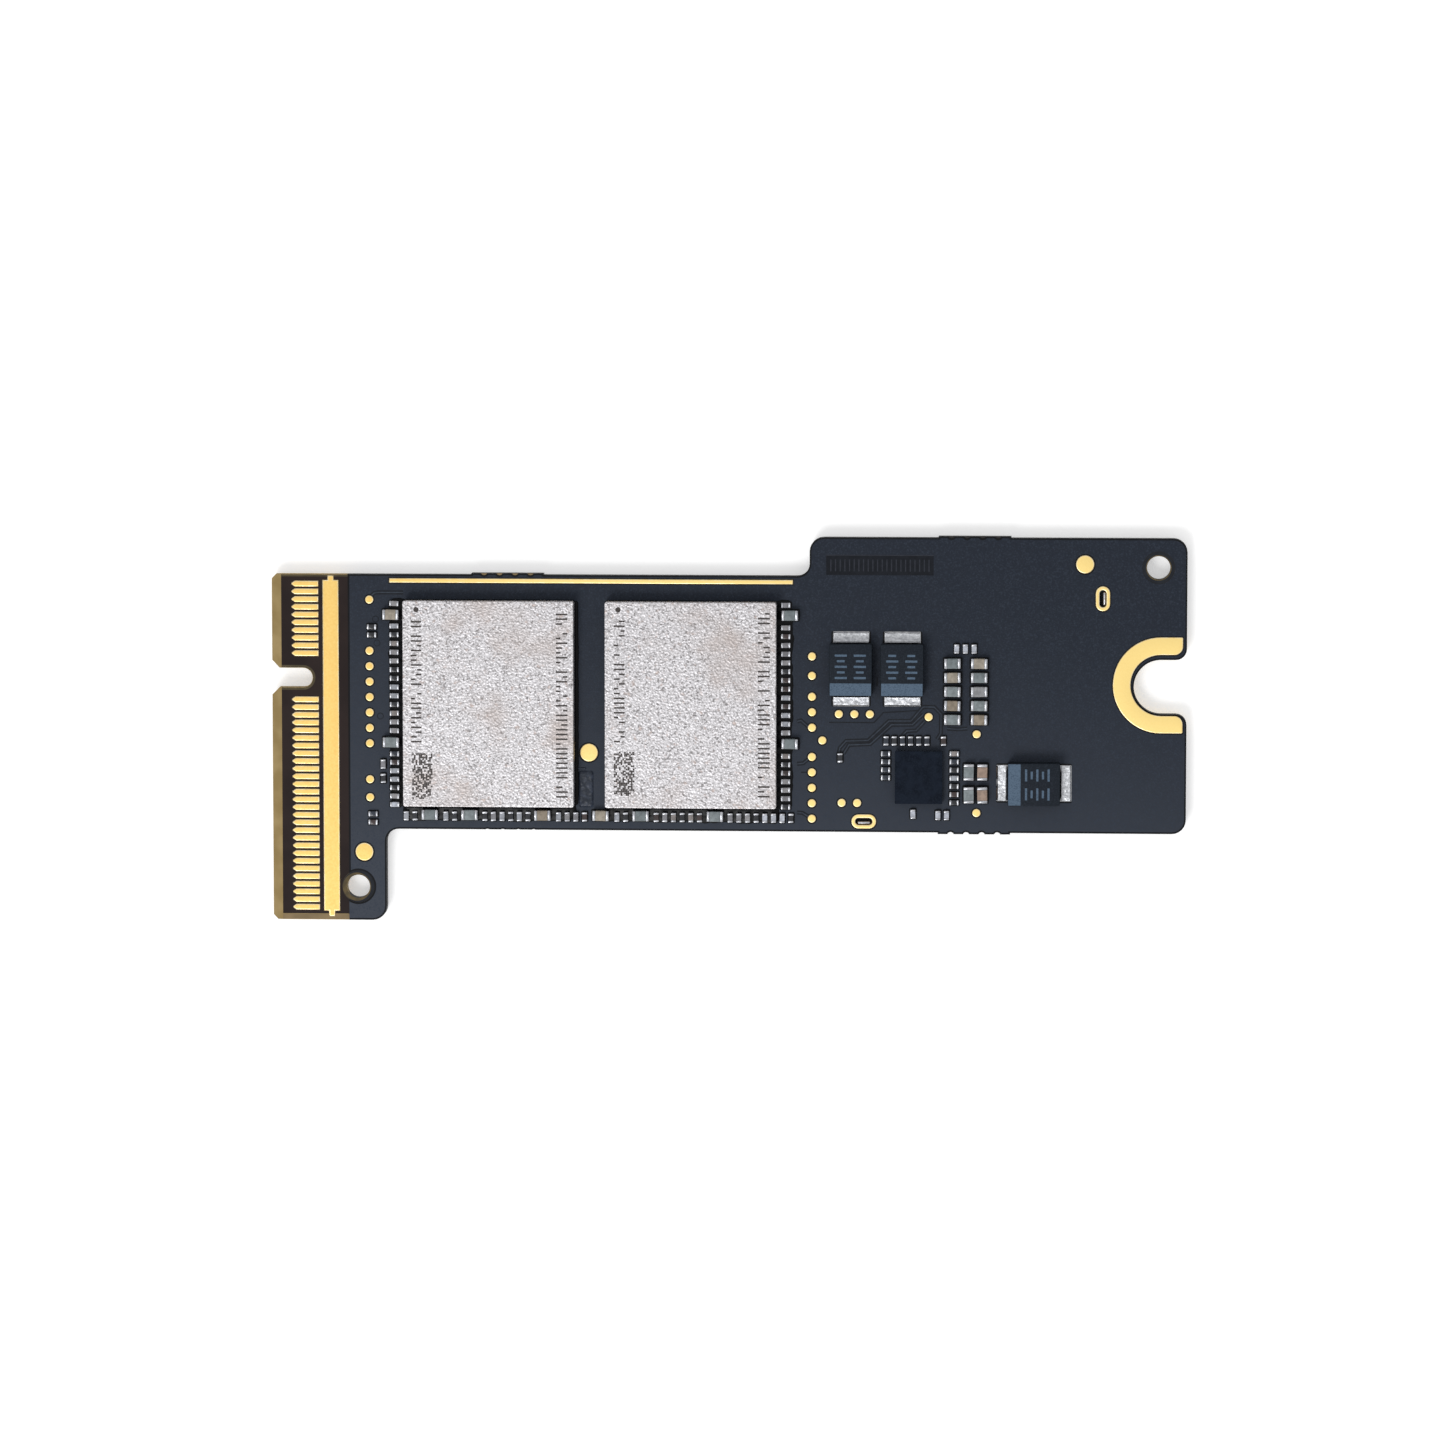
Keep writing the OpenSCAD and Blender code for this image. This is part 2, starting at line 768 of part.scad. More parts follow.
laminate_lower();
inner_copper_plane();
laminate_upper();
solder_mask_top();
solder_mask_bottom();
edge_contacts_top();
edge_contacts_bottom();
ground_bar_top();
ground_bar_bottom();
shield_strip();
hold_down_ring_top();
hold_down_ring_bottom();
test_pads_top();
test_pads_bottom();
fiducials();
plated_slots();
flash_solder_balls(0);  // flash_a_solder_balls
flash_substrate(0);  // flash_a_substrate
flash_die_stack(0);  // flash_a_die_stack
flash_mould(0);  // flash_a_mould
flash_shield(0);  // flash_a_shield
flash_underfill(0);  // flash_a_underfill
flash_solder_balls(1);  // flash_b_solder_balls
flash_substrate(1);  // flash_b_substrate
flash_die_stack(1);  // flash_b_die_stack
flash_mould(1);  // flash_b_mould
flash_shield(1);  // flash_b_shield
flash_underfill(1);  // flash_b_underfill
power_chip_solder_balls();
power_chip_die();
power_chip_coating();
inductor_core(0);  // inductor_1_core
inductor_coil(0);  // inductor_1_coil
inductor_terminals(0);  // inductor_1_terminals
inductor_core(1);  // inductor_2_core
inductor_coil(1);  // inductor_2_coil
inductor_terminals(1);  // inductor_2_terminals
inductor_core(2);  // inductor_3_core
inductor_coil(2);  // inductor_3_coil
inductor_terminals(2);  // inductor_3_terminals
large_capacitors_grey();
large_capacitors_tan();
large_capacitor_terminals();
small_capacitors();
small_capacitor_terminals();
resistors();
resistor_terminals();
back_capacitors();
back_capacitor_terminals();
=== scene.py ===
import json
import math
import random

import bmesh
import bpy
from mathutils import Matrix, Vector, noise


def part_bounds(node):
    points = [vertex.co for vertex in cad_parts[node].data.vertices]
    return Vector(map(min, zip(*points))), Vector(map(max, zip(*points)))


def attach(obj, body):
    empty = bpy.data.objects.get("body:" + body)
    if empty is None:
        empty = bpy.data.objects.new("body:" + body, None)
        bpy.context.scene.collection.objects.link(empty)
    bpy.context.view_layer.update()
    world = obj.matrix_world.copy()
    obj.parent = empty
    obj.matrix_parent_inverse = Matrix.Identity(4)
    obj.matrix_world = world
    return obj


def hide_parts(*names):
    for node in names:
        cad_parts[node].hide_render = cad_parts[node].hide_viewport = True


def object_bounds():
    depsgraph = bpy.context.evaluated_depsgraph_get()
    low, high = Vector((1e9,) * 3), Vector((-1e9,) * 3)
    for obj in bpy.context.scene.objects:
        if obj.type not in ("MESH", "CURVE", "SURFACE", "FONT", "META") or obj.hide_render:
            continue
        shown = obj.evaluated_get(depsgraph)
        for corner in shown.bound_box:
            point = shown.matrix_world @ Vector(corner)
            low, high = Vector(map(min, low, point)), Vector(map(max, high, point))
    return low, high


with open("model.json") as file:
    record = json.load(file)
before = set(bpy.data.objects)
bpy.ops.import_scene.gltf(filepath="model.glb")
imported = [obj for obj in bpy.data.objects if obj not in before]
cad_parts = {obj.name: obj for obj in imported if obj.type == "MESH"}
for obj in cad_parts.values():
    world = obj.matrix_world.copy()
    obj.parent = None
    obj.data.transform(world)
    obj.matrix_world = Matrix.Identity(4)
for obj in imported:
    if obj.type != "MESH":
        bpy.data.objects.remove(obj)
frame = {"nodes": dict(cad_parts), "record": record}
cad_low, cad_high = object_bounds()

# The bare solid state drive module. Plan positions are in millimetres in the datum of the board's artwork,
# which the ground bar sets, and heights are above the face that a piece stands on.
MM = 0.001
TOP, BACK = 1, -1
BAR_CORNER = (3.25, 0.13)
NOISE_SEED = 7
scene = bpy.context.scene
noise.seed_set(NOISE_SEED)
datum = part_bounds("ground_bar_top")[0] - Vector((BAR_CORNER[0], BAR_CORNER[1], 0)) * MM
top_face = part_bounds("solder_mask_top")[1].z
back_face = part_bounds("solder_mask_bottom")[0].z
mask_t = (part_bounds("solder_mask_top")[1].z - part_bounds("solder_mask_top")[0].z) / MM
# How far a thin film stands above what carries it, and how far its foot is sunk into it
FILM = 0.004
FILM_FOOT = 0.01


def spot(x, y, up=0.0, side=TOP):
    """A point over the component side, or under the back."""
    z = top_face + up * MM if side == TOP else back_face - up * MM
    return Vector((datum.x + x * MM, datum.y + y * MM, z))


def plan(point):
    """A point of the frame, back in the artwork's millimetres."""
    return (point.x - datum.x) / MM, (point.y - datum.y) / MM


def over_board(z):
    """A height of the frame, as millimetres over the component side."""
    return (z - top_face) / MM


def plan_box(node):
    """The plan box of a CAD node: (centre, size)."""
    a, b = (plan(corner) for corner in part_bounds(node))
    return ((a[0] + b[0]) / 2, (a[1] + b[1]) / 2), (b[0] - a[0], b[1] - a[1])


# ---------------------------------------------------------------- outlines

def rectangle(centre, size, r, turn=0.0, steps=3):
    """A rounded rectangle, anticlockwise."""
    x, y = size[0] / 2 - r, size[1] / 2 - r
    corners = [(x, y, 0), (-x, y, 90), (-x, -y, 180), (x, -y, 270)]
    c, s = math.cos(math.radians(turn)), math.sin(math.radians(turn))
    points = []
    for cx, cy, start in corners:
        for i in range(steps + 1):
            a = math.radians(start + 90 * i / steps)
            px, py = cx + r * math.cos(a), cy + r * math.sin(a)
            points.append((centre[0] + c * px - s * py, centre[1] + s * px + c * py))
    return points


def disc(centre, r, steps):
    turns = [2 * math.pi * i / steps for i in range(steps)]
    return [(centre[0] + r * math.cos(a), centre[1] + r * math.sin(a)) for a in turns]


def offset(points, distance, closed=True):
    """The same outline moved to its right by a distance: outwards where it runs anticlockwise."""
    moved = []
    n = len(points)
    for i, (x, y) in enumerate(points):
        before = points[i - 1] if closed or i > 0 else None
        after = points[(i + 1) % n] if closed or i < n - 1 else None
        normals = []
        for a, b in ((before, (x, y)), ((x, y), after)):
            if a is None or b is None:
                continue
            d = Vector((b[0] - a[0], b[1] - a[1]))
            if d.length > 1e-6:
                normals.append(Vector((d.y, -d.x)).normalized())
        mean = sum(normals, Vector((0, 0)))
        mean.normalize()
        reach = distance / max(0.5, mean.dot(normals[0]))
        moved.append((x + mean.x * reach, y + mean.y * reach))
    return moved


def resample(points, step):
    """A closed outline with its long stretches cut into equal steps."""
    out = []
    for a, b in zip(points, points[1:] + points[:1]):
        count = max(1, round(math.dist(a, b) / step))
        for i in range(count):
            t = i / count
            out.append((a[0] + (b[0] - a[0]) * t, a[1] + (b[1] - a[1]) * t))
    return out


# ---------------------------------------------------------------- mesh building

def ring(bm, outline, up, side=TOP):
    return [bm.verts.new(spot(x, y, up, side)) for x, y in outline]


def skin(bm, a, b, material=0, closed=True):
    """Quads between two rows of vertices."""
    count = len(a) if closed else len(a) - 1
    for i in range(count):
        j = (i + 1) % len(a)
        bm.faces.new((a[i], a[j], b[j], b[i])).material_index = material


def loft(bm, layers, side=TOP, material=0, foot=None):
    """A closed solid through outlines of equal count: layers are (outline, height), lowest first.
    foot is (how many of the lowest bands, their material)."""
    rows = [ring(bm, outline, up, side) for outline, up in layers]
    bm.faces.new(rows[0]).material_index = material
    for i, (a, b) in enumerate(zip(rows, rows[1:])):
        skin(bm, a, b, foot[1] if foot and i < foot[0] else material)
    bm.faces.new(rows[-1]).material_index = material
    return [v for row in rows for v in row]


def stack(outline, steps):
    """Layers of one outline, drawn in by each step's inset: steps are (inset, height)."""
    return [(offset(outline, -inset), up) for inset, up in steps]


def film(bm, outline, up=FILM, side=TOP):
    """A thin flat film, such as a printed mark, with its foot sunk into what carries it."""
    loft(bm, [(outline, up - FILM_FOOT), (outline, up)], side)


def sweep(bm, path, profile, closed=False, side=TOP):
    """A strip along a path: profile is a list of (offset to the right, height)."""
    rows = [ring(bm, offset(path, out, closed), up, side) for out, up in profile]
    for a, b in zip(rows, rows[1:] + rows[:1]):
        skin(bm, a, b, closed=closed)
    if not closed:
        for end in (0, -1):
            bm.faces.new([row[end] for row in rows])


def halo(bm, outline, width, up=FILM, side=TOP):
    """A thin dark line round an outline, where the mask ends or its clearance shows."""
    sweep(bm, outline, [(0, up - FILM_FOOT), (0, up), (width, up), (width, up - FILM_FOOT)], True, side)


# Points closer than this, in metres, are the same
WELD = 1e-7


def welded(node):
    """A copy of a CAD node's mesh with its doubled vertices joined."""
    bm = bmesh.new()
    bm.from_mesh(frame["nodes"][node].data)
    bmesh.ops.remove_doubles(bm, verts=bm.verts, dist=WELD)
    return bm


def solids(node):
    """The plan box of each separate solid of a node: (centre, size, lowest z, highest z)."""
    bm = welded(node)
    left = set(bm.verts)
    found = []
    while left:
        queue = [left.pop()]
        group = list(queue)
        while queue:
            v = queue.pop()
            for e in v.link_edges:
                w = e.other_vert(v)
                if w in left:
                    left.remove(w)
                    queue.append(w)
                    group.append(w)
        low = [min(v.co[i] for v in group) for i in range(3)]
        high = [max(v.co[i] for v in group) for i in range(3)]
        a, b = plan(Vector(low)), plan(Vector(high))
        centre = (a[0] + b[0]) / 2, (a[1] + b[1]) / 2
        found.append((centre, (b[0] - a[0], b[1] - a[1]), low[2], high[2]))
    bm.free()
    return sorted(found)


def outermost(bm, side):
    """The flat faces that lie furthest out on one side."""
    edge_z = max(v.co.z * side for v in bm.verts)
    return [f for f in bm.faces if all(abs(v.co.z * side - edge_z) < WELD for v in f.verts)]


def rims(node, side=TOP):
    """The closed outlines of a node's outermost faces on one side, in plan, anticlockwise outside."""
    bm = welded(node)
    flat = set(outermost(bm, side))
    after = {}
    for f in flat:
        for loop in f.loops:
            if sum(other in flat for other in loop.edge.link_faces) == 1:
                after[loop.vert.index] = loop.link_loop_next.vert
    bm.verts.ensure_lookup_table()
    found = []
    while after:
        start = min(after)
        outline, v = [], bm.verts[start]
        while v.index in after:
            outline.append(plan(v.co))
            v = after.pop(v.index)
        found.append(outline if side == TOP else outline[::-1])
    bm.free()
    return found


def area(outline):
    """The area inside an outline, negative where it runs clockwise, as round a hole."""
    pairs = zip(outline, outline[1:] + outline[:1])
    return sum(a[0] * b[1] - b[0] * a[1] for a, b in pairs) / 2


def outer_rims(node, side=TOP):
    return [outline for outline in rims(node, side) if area(outline) > 0]


def piece(name, bm, finishes, replaced=(), crease=35):
    """Makes one visible piece that rides on the board."""
    bmesh.ops.recalc_face_normals(bm, faces=bm.faces)
    mesh = bpy.data.meshes.new(name)
    bm.to_mesh(mesh)
    bm.free()
    for finish in finishes:
        mesh.materials.append(finish)
    mesh.shade_smooth()
    mesh.set_sharp_from_angle(angle=math.radians(crease))
    made = bpy.data.objects.new(name, mesh)
    scene.collection.objects.link(made)
    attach(made, "root")
    if replaced:
        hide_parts(*replaced)


def roughen(verts, amount, grain, seed):
    """Moves vertices by smooth noise, so that solder and foil aren't perfectly flat."""
    for v in verts:
        p = v.co / (grain * MM) + Vector((seed, 0, 0))
        v.co += noise.noise_vector(p) * amount * MM


# ---------------------------------------------------------------- materials

def linear(rgb):
    """A display colour out of 255 as a linear one with alpha."""
    def channel(v):
        v /= 255
        return v / 12.92 if v <= 0.04045 else ((v + 0.055) / 1.055) ** 2.4
    return tuple(channel(v) for v in rgb) + (1.0,)


class Finish:
    """A node material: mottled colour, uneven roughness and a fine bump, all in the object's own space."""

    def __init__(self, name, colour, rough=0.5, metal=0.0, specular=0.5):
        self.material = bpy.data.materials.new(name)
        self.material.use_nodes = True
        self.tree = self.material.node_tree
        self.shader = self.tree.nodes["Principled BSDF"]
        self.space = self.add("ShaderNodeTexCoord").outputs["Object"]
        self.base = colour
        inputs = self.shader.inputs
        inputs["Base Color"].default_value = linear(colour)
        inputs["Roughness"].default_value = rough
        inputs["Metallic"].default_value = metal
        inputs["Specular IOR Level"].default_value = specular
        self.rough = rough
        self.last_bump = None

    def add(self, kind, **settings):
        node = self.tree.nodes.new(kind)
        for key, value in settings.items():
            setattr(node, key, value)
        return node

    def link(self, source, target):
        self.tree.links.new(source, target)

    def noise(self, size, detail=2.0, stretch=(1, 1, 1)):
        """Noise whose blobs are about this many millimetres across."""
        mapping = self.add("ShaderNodeMapping")
        mapping.inputs["Scale"].default_value = [s / (size * MM) for s in stretch]
        self.link(self.space, mapping.inputs["Vector"])
        texture = self.add("ShaderNodeTexNoise")
        texture.inputs["Scale"].default_value = 1.0
        texture.inputs["Detail"].default_value = detail
        self.link(mapping.outputs["Vector"], texture.inputs["Vector"])
        return texture.outputs["Fac"]

    def blend(self, other, factor):
        """Mixes the colour so far with another one."""
        socket = self.shader.inputs["Base Color"]
        mix = self.add("ShaderNodeMix", data_type="RGBA", clamp_factor=True)
        first, second = mix.inputs[6], mix.inputs[7]
        if socket.is_linked:
            self.link(socket.links[0].from_socket, first)
        else:
            first.default_value = linear(self.base)
        second.default_value = linear(other)
        self.link(factor, mix.inputs["Factor"])
        self.link(mix.outputs[2], socket)
        return self

    def spread(self, value, low, high):
        """A value between two limits, as a smooth step from 0 to 1."""
        node = self.add("ShaderNodeMapRange", interpolation_type="SMOOTHSTEP")
        node.inputs["From Min"].default_value = low
        node.inputs["From Max"].default_value = high
        self.link(value, node.inputs["Value"])
        return node.outputs["Result"]

    def tint(self, other, size, low=0.35, high=0.65, detail=2.0):
        """Blends the colour towards another one in noisy patches."""
        return self.blend(other, self.spread(self.noise(size, detail), low, high))

    def drift(self, other, along, start, end):
        """Blends the colour towards another one from place to place, along a direction in plan."""
        node = self.add("ShaderNodeVectorMath", operation="DOT_PRODUCT")
        node.inputs[1].default_value = Vector(along).normalized()
        self.link(self.space, node.inputs[0])
        return self.blend(other, self.spread(node.outputs["Value"], start * MM, end * MM))

    def uneven(self, spread, size):
        """Roughness that wanders by this much either way."""
        ramp = self.add("ShaderNodeMapRange")
        ramp.inputs["From Min"].default_value = 0.3
        ramp.inputs["From Max"].default_value = 0.7
        ramp.inputs["To Min"].default_value = max(0.02, self.rough - spread)
        ramp.inputs["To Max"].default_value = min(1.0, self.rough + spread)
        self.link(self.noise(size), ramp.inputs["Value"])
        self.link(ramp.outputs["Result"], self.shader.inputs["Roughness"])
        return self

    def bump(self, size, depth, strength, detail=3.0, stretch=(1, 1, 1)):
        """Fine relief: size and depth in millimetres."""
        node = self.add("ShaderNodeBump")
        node.inputs["Strength"].default_value = strength
        node.inputs["Distance"].default_value = depth * MM
        self.link(self.noise(size, detail, stretch), node.inputs["Height"])
        if self.last_bump:
            self.link(self.last_bump, node.inputs["Normal"])
        self.last_bump = node.outputs["Normal"]
        self.link(self.last_bump, self.shader.inputs["Normal"])
        return self


def finishes():
    """Every material, by name."""
    made = {}

    def new(name, *args, **kw):
        made[name] = Finish(name, *args, **kw)
        return made[name]

    # Painted sheen: the mask's colour drifts lighter towards the near left corner.
    new("solder_mask", (24, 32, 45), rough=0.5, specular=0.2).drift(
        (58, 64, 75), (-0.15, -1, 0), -12, 18).tint((44, 53, 67), 0.1, 0.42, 0.85).bump(
        0.1, 0.01, 0.7).uneven(0.06, 0.4)
    new("mask_trace", (44, 51, 62), rough=0.45, specular=0.22).tint((54, 62, 74), 0.3).bump(
        0.09, 0.004, 0.5).uneven(0.05, 0.4)
    new("panel_bar", (36, 40, 50), rough=0.5, specular=0.2).tint((44, 48, 58), 0.2).bump(0.09, 0.004, 0.4)
    new("panel_floor", (16, 20, 28), rough=0.5, specular=0.14).tint((22, 26, 34), 0.3).bump(
        0.09, 0.004, 0.4)
    # Near black for the mask's clearances, and for the lands round chip parts, where it is also painted
    # contact shadow.
    new("mask_gap_and_painted_shade", (12, 14, 18), rough=0.45, specular=0.12).bump(0.09, 0.004, 0.4).tint(
        (18, 20, 25), 1.5)
    new("trace_gap", (24, 27, 34), rough=0.5, specular=0.14).tint((30, 34, 41), 0.4).bump(
        0.09, 0.004, 0.4)
    mask_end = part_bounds("solder_mask_top")[0].x / MM
    new("laminate", (164, 142, 98), rough=0.6, specular=0.2).tint((146, 124, 80), 1.6).drift(
        (44, 42, 42), (1, 0, 0), mask_end - 0.1, mask_end + 0.05).bump(
        0.12, 0.008, 0.5, stretch=(1, 1, 5))
    new("window", (34, 24, 23), rough=0.5, specular=0.14).tint((42, 31, 29), 2.5, detail=3).bump(
        0.2, 0.002, 0.3)
    new("copper_plane", (96, 62, 46), rough=0.45, metal=0.8).tint((70, 46, 38), 1.0)
    new("gold", (236, 202, 124), rough=0.52, metal=1.0).tint((233, 196, 116), 0.14, detail=3).drift(
        (244, 217, 143), (1, 0, 0), -25.4, -10).uneven(0.04, 0.15).bump(0.12, 0.003, 0.5)
    new("barrel", (170, 140, 96), rough=0.45, metal=0.9).tint((120, 92, 60), 0.3).bump(0.15, 0.01, 0.5)
    # The plating's shoulder is painted a paler gold: a painted highlight along its rims.
    new("gold_rim_painted_highlight", (255, 238, 196), rough=0.42, metal=1.0).tint((250, 222, 160), 0.4).bump(
        0.1, 0.003, 0.4)
    new("shield", (184, 182, 184), rough=0.48, metal=1.0).tint(
        (218, 216, 219), 0.11, 0.38, 0.62, detail=1).tint(
        (136, 133, 134), 0.15, 0.5, 0.74, detail=1).tint(
        (180, 168, 164), 0.36, 0.6, 0.8, detail=1).tint(
        (178, 168, 164), 4.0, 0.5, 0.85).bump(0.14, 0.033, 0.85, detail=0.8)
    new("etched_mark", (58, 53, 52), rough=0.7, metal=0.2).tint((80, 74, 72), 0.12, detail=3).bump(
        0.1, 0.01, 0.5)
    new("underfill", (8, 9, 12), rough=0.32, specular=0.14).uneven(0.06, 0.6).bump(0.4, 0.03, 0.5)
    new("epoxy_strip", (34, 41, 53), rough=0.36, specular=0.3).tint((58, 66, 82), 0.3, 0.4, 0.8).bump(
        0.18, 0.02, 0.8)
    new("chip_coating", (10, 18, 30), rough=0.6, specular=0.08).tint((20, 28, 41), 0.6).tint(
        (26, 34, 46), 0.09, 0.4, 0.8).bump(0.08, 0.003, 0.4)
    new("silicon", (60, 64, 74), rough=0.25, specular=0.5).tint((48, 52, 60), 0.5).bump(0.2, 0.002, 0.3)
    new("inductor_core", (29, 35, 43), rough=0.66, specular=0.12).tint(
        (40, 46, 55), 0.09, 0.45, 0.7, detail=3).bump(0.09, 0.012, 0.6, detail=4)
    new("ink", (86, 105, 125), rough=0.6, specular=0.2).tint((66, 84, 103), 0.07, 0.45, 0.7).bump(
        0.09, 0.01, 0.5, detail=4)
    new("tin", (206, 208, 213), rough=0.4, metal=1.0).tint((176, 178, 184), 0.2, detail=3).uneven(
        0.08, 0.1).bump(0.16, 0.02, 0.7)
    new("foil", (184, 186, 190), rough=0.45, metal=1.0).tint((216, 218, 222), 0.14, detail=4).uneven(
        0.1, 0.1).bump(0.16, 0.05, 0.8, detail=4)
    # Solder of the chip parts' feet, painted dark: painted dark reflections on their steep sides.
    new("solder_foot_painted_dark", (92, 93, 98), rough=0.3, metal=0.9).tint((60, 61, 66), 0.2).bump(0.2, 0.01, 0.5)
    new("solder", (216, 217, 220), rough=0.2, metal=1.0).tint((180, 182, 188), 0.3).bump(
        0.25, 0.015, 0.5)
    new("hole_rim", (27, 31, 38), rough=0.5, specular=0.15).tint((33, 37, 44), 0.5).bump(0.1, 0.004, 0.4)
    new("resin_margin", (74, 66, 48), rough=0.5, specular=0.14).tint((86, 76, 56), 0.6).bump(
        0.1, 0.004, 0.4)
    new("resin_olive", (98, 84, 56), rough=0.5, specular=0.15).tint((80, 70, 50), 0.5).bump(
        0.1, 0.004, 0.4)
    new("resin_foot", (142, 121, 88), rough=0.55, specular=0.2).tint((126, 108, 78), 1.2).bump(
        0.1, 0.004, 0.4)
    ceramics = {
        "ceramic_grey": (135, 144, 147), "ceramic_stone": (148, 149, 152), "ceramic_slate": (122, 131, 134),
        "ceramic_tan": (166, 157, 143), "ceramic_brown": (148, 136, 120), "ceramic_white": (194, 199, 210),
        "ceramic_warm": (152, 151, 154), "ceramic_pale": (164, 168, 176), "ceramic_rose": (144, 138, 136),
        "ceramic_dim": (134, 134, 139), "ceramic_clay": (166, 143, 128),
    }
    for name, rgb in ceramics.items():
        darker = tuple(v * 0.86 for v in rgb)
        new(name, rgb, rough=0.45, specular=0.3).tint(darker, 0.25, detail=3).bump(0.08, 0.006, 0.4)
    glasses = {"glass_black": (28, 30, 35), "glass_red": (48, 38, 38), "glass_blue": (32, 38, 48)}
    for name, rgb in glasses.items():
        lighter = tuple(v * 1.3 for v in rgb)
        new(name, rgb, rough=0.25, specular=0.5).tint(lighter, 0.3).bump(0.08, 0.004, 0.4)
    new("substrate", (34, 62, 46), rough=0.5).tint((28, 50, 38), 0.6).bump(0.15, 0.005, 0.4)
    new("mould", (28, 28, 31), rough=0.6).tint((36, 36, 40), 0.2).bump(0.1, 0.008, 0.5)
    new("winding", (176, 104, 58), rough=0.3, metal=0.9).tint((150, 84, 44), 0.3).bump(
        0.12, 0.02, 0.7, stretch=(0.3, 0.3, 3))
    return {name: finish.material for name, finish in made.items()}


looks = finishes()


def carry_over():
    """Gives every CAD node that stays in view, or sealed inside, its node material."""
    by_end = {
        "laminate_lower": "laminate", "laminate_upper": "laminate", "inner_copper_plane": "copper_plane",
        "solder_mask_top": "solder_mask", "solder_mask_bottom": "solder_mask",
        "_solder_balls": "solder", "_substrate": "substrate", "_die_stack": "silicon",
        "_mould": "mould", "_coil": "winding",
    }
    for name, node in frame["nodes"].items():
        for end, look in by_end.items():
            if name.endswith(end):
                node.data.materials.clear()
                node.data.materials.append(looks[look])


# ---------------------------------------------------------------- board

# The shoulder of the plating, painted paler as a highlight: its width, and how much higher the gold inside
# it stands
RIM_W = 0.065
RIM_DROP = 0.004


def plated(node, sides=(TOP,)):
    """Gold with a soft shoulder, painted paler as a highlight: the node's own shape with its outer faces
    drawn in.
    """
    bm = welded(node)
    for side in sides:
        flat = outermost(bm, side)
        made = bmesh.ops.inset_region(
            bm, faces=flat, thickness=RIM_W * MM, use_even_offset=True, use_boundary=True)
        for f in made["faces"]:
            f.material_index = 1
        for v in {v for f in flat for v in f.verts}:
            v.co.z += side * RIM_DROP * MM
    for f in bm.faces:
        if node == "plated_slots" and abs(f.normal.z) < 0.1:
            f.material_index = 2
    plating = [looks["gold"], looks["gold_rim_painted_highlight"], looks["barrel"]]
    piece(f"{node}_plating", bm, plating, [node], crease=60)


def board_gold():
    for end in ("top", "bottom"):
        side = (TOP,) if end == "top" else (BACK,)
        for name in ("edge_contacts", "ground_bar", "hold_down_ring", "test_pads"):
            plated(f"{name}_{end}", side)
    plated("shield_strip")
    plated("fiducials")
    plated("plated_slots", (TOP, BACK))


# Round a tooling hole: the radii of the olive lip, and of the darker ring with its width
LIP_R = (0.755, 0.82)
HOLE_RING_R = 0.8
HOLE_RING_W = 0.23
TONGUE_LIP_SHIFT = 0.1


def hole_rims():
    """The bare resin round each tooling hole: an olive lip in a darker ring, wider beside the card edge."""
    bm = bmesh.new()
    up = FILM - mask_t
    for x, y in TOOLING_HOLES:
        shift = TONGUE_LIP_SHIFT if (x, y) == TOOLING_HOLES[0] else 0
        for side in (TOP, BACK):
            halo(bm, disc((x, y), HOLE_RING_R, 48), HOLE_RING_W, up, side)
            inner, outer = disc((x, y), LIP_R[0], 48), disc((x - shift, y - shift / 4), LIP_R[1] + shift, 48)
            high, low = up + FILM / 2, up - FILM_FOOT
            layers = ((inner, low), (inner, high), (outer, high), (outer, low))
            rows = [ring(bm, outline, height, side) for outline, height in layers]
            for a, b in zip(rows, rows[1:] + rows[:1]):
                skin(bm, a, b, 1)
    piece("tooling_hole_rims", bm, [looks["hole_rim"], looks["resin_olive"]])


# The bites in the neck's breakaway stub: their centres, radius, and where each arc starts and ends
STUB_BITES = [(13.74 + i, 22.55) for i in range(4)]
STUB_BITE_R = 0.22
STUB_BITE_ARC = (202, 338)


def stub_bites():
    """The torn glass fibre in the bites of the neck's breakaway stub."""
    bm = bmesh.new()
    start, end = STUB_BITE_ARC
    bend = [math.radians(start + (end - start) * j / 8) for j in range(9)]
    for x, y in STUB_BITES:
        arc = [(x + STUB_BITE_R * math.cos(a), y + STUB_BITE_R * math.sin(a)) for a in bend]
        film(bm, arc, FILM - mask_t)
    piece("stub_bite_fibres", bm, [looks["resin_foot"]])


# The pale tin bead in each plated slot is a painted highlight along one wall: its size, and how far it sits
# off the slot's middle
SLOT_BEAD = (0.86, 0.2)
SLOT_BEAD_SHIFT = 0.1


def painted_glint_beads():
    """A pale bead of tin along one wall of each plated slot: a painted highlight along that wall."""
    bm = bmesh.new()
    for (x, y), size, _, _ in solids("plated_slots"):
        if size[0] > size[1]:
            outline = rectangle((x, y - SLOT_BEAD_SHIFT), SLOT_BEAD, 0.09)
        else:
            outline = rectangle((x + SLOT_BEAD_SHIFT, y), SLOT_BEAD[::-1], 0.09)
        loft(bm, stack(outline, [(0, -0.4), (0, -0.2), (0.03, -0.15), (0.07, -0.13)]))
    piece("plated_slot_painted_glint", bm, [looks["tin"]])


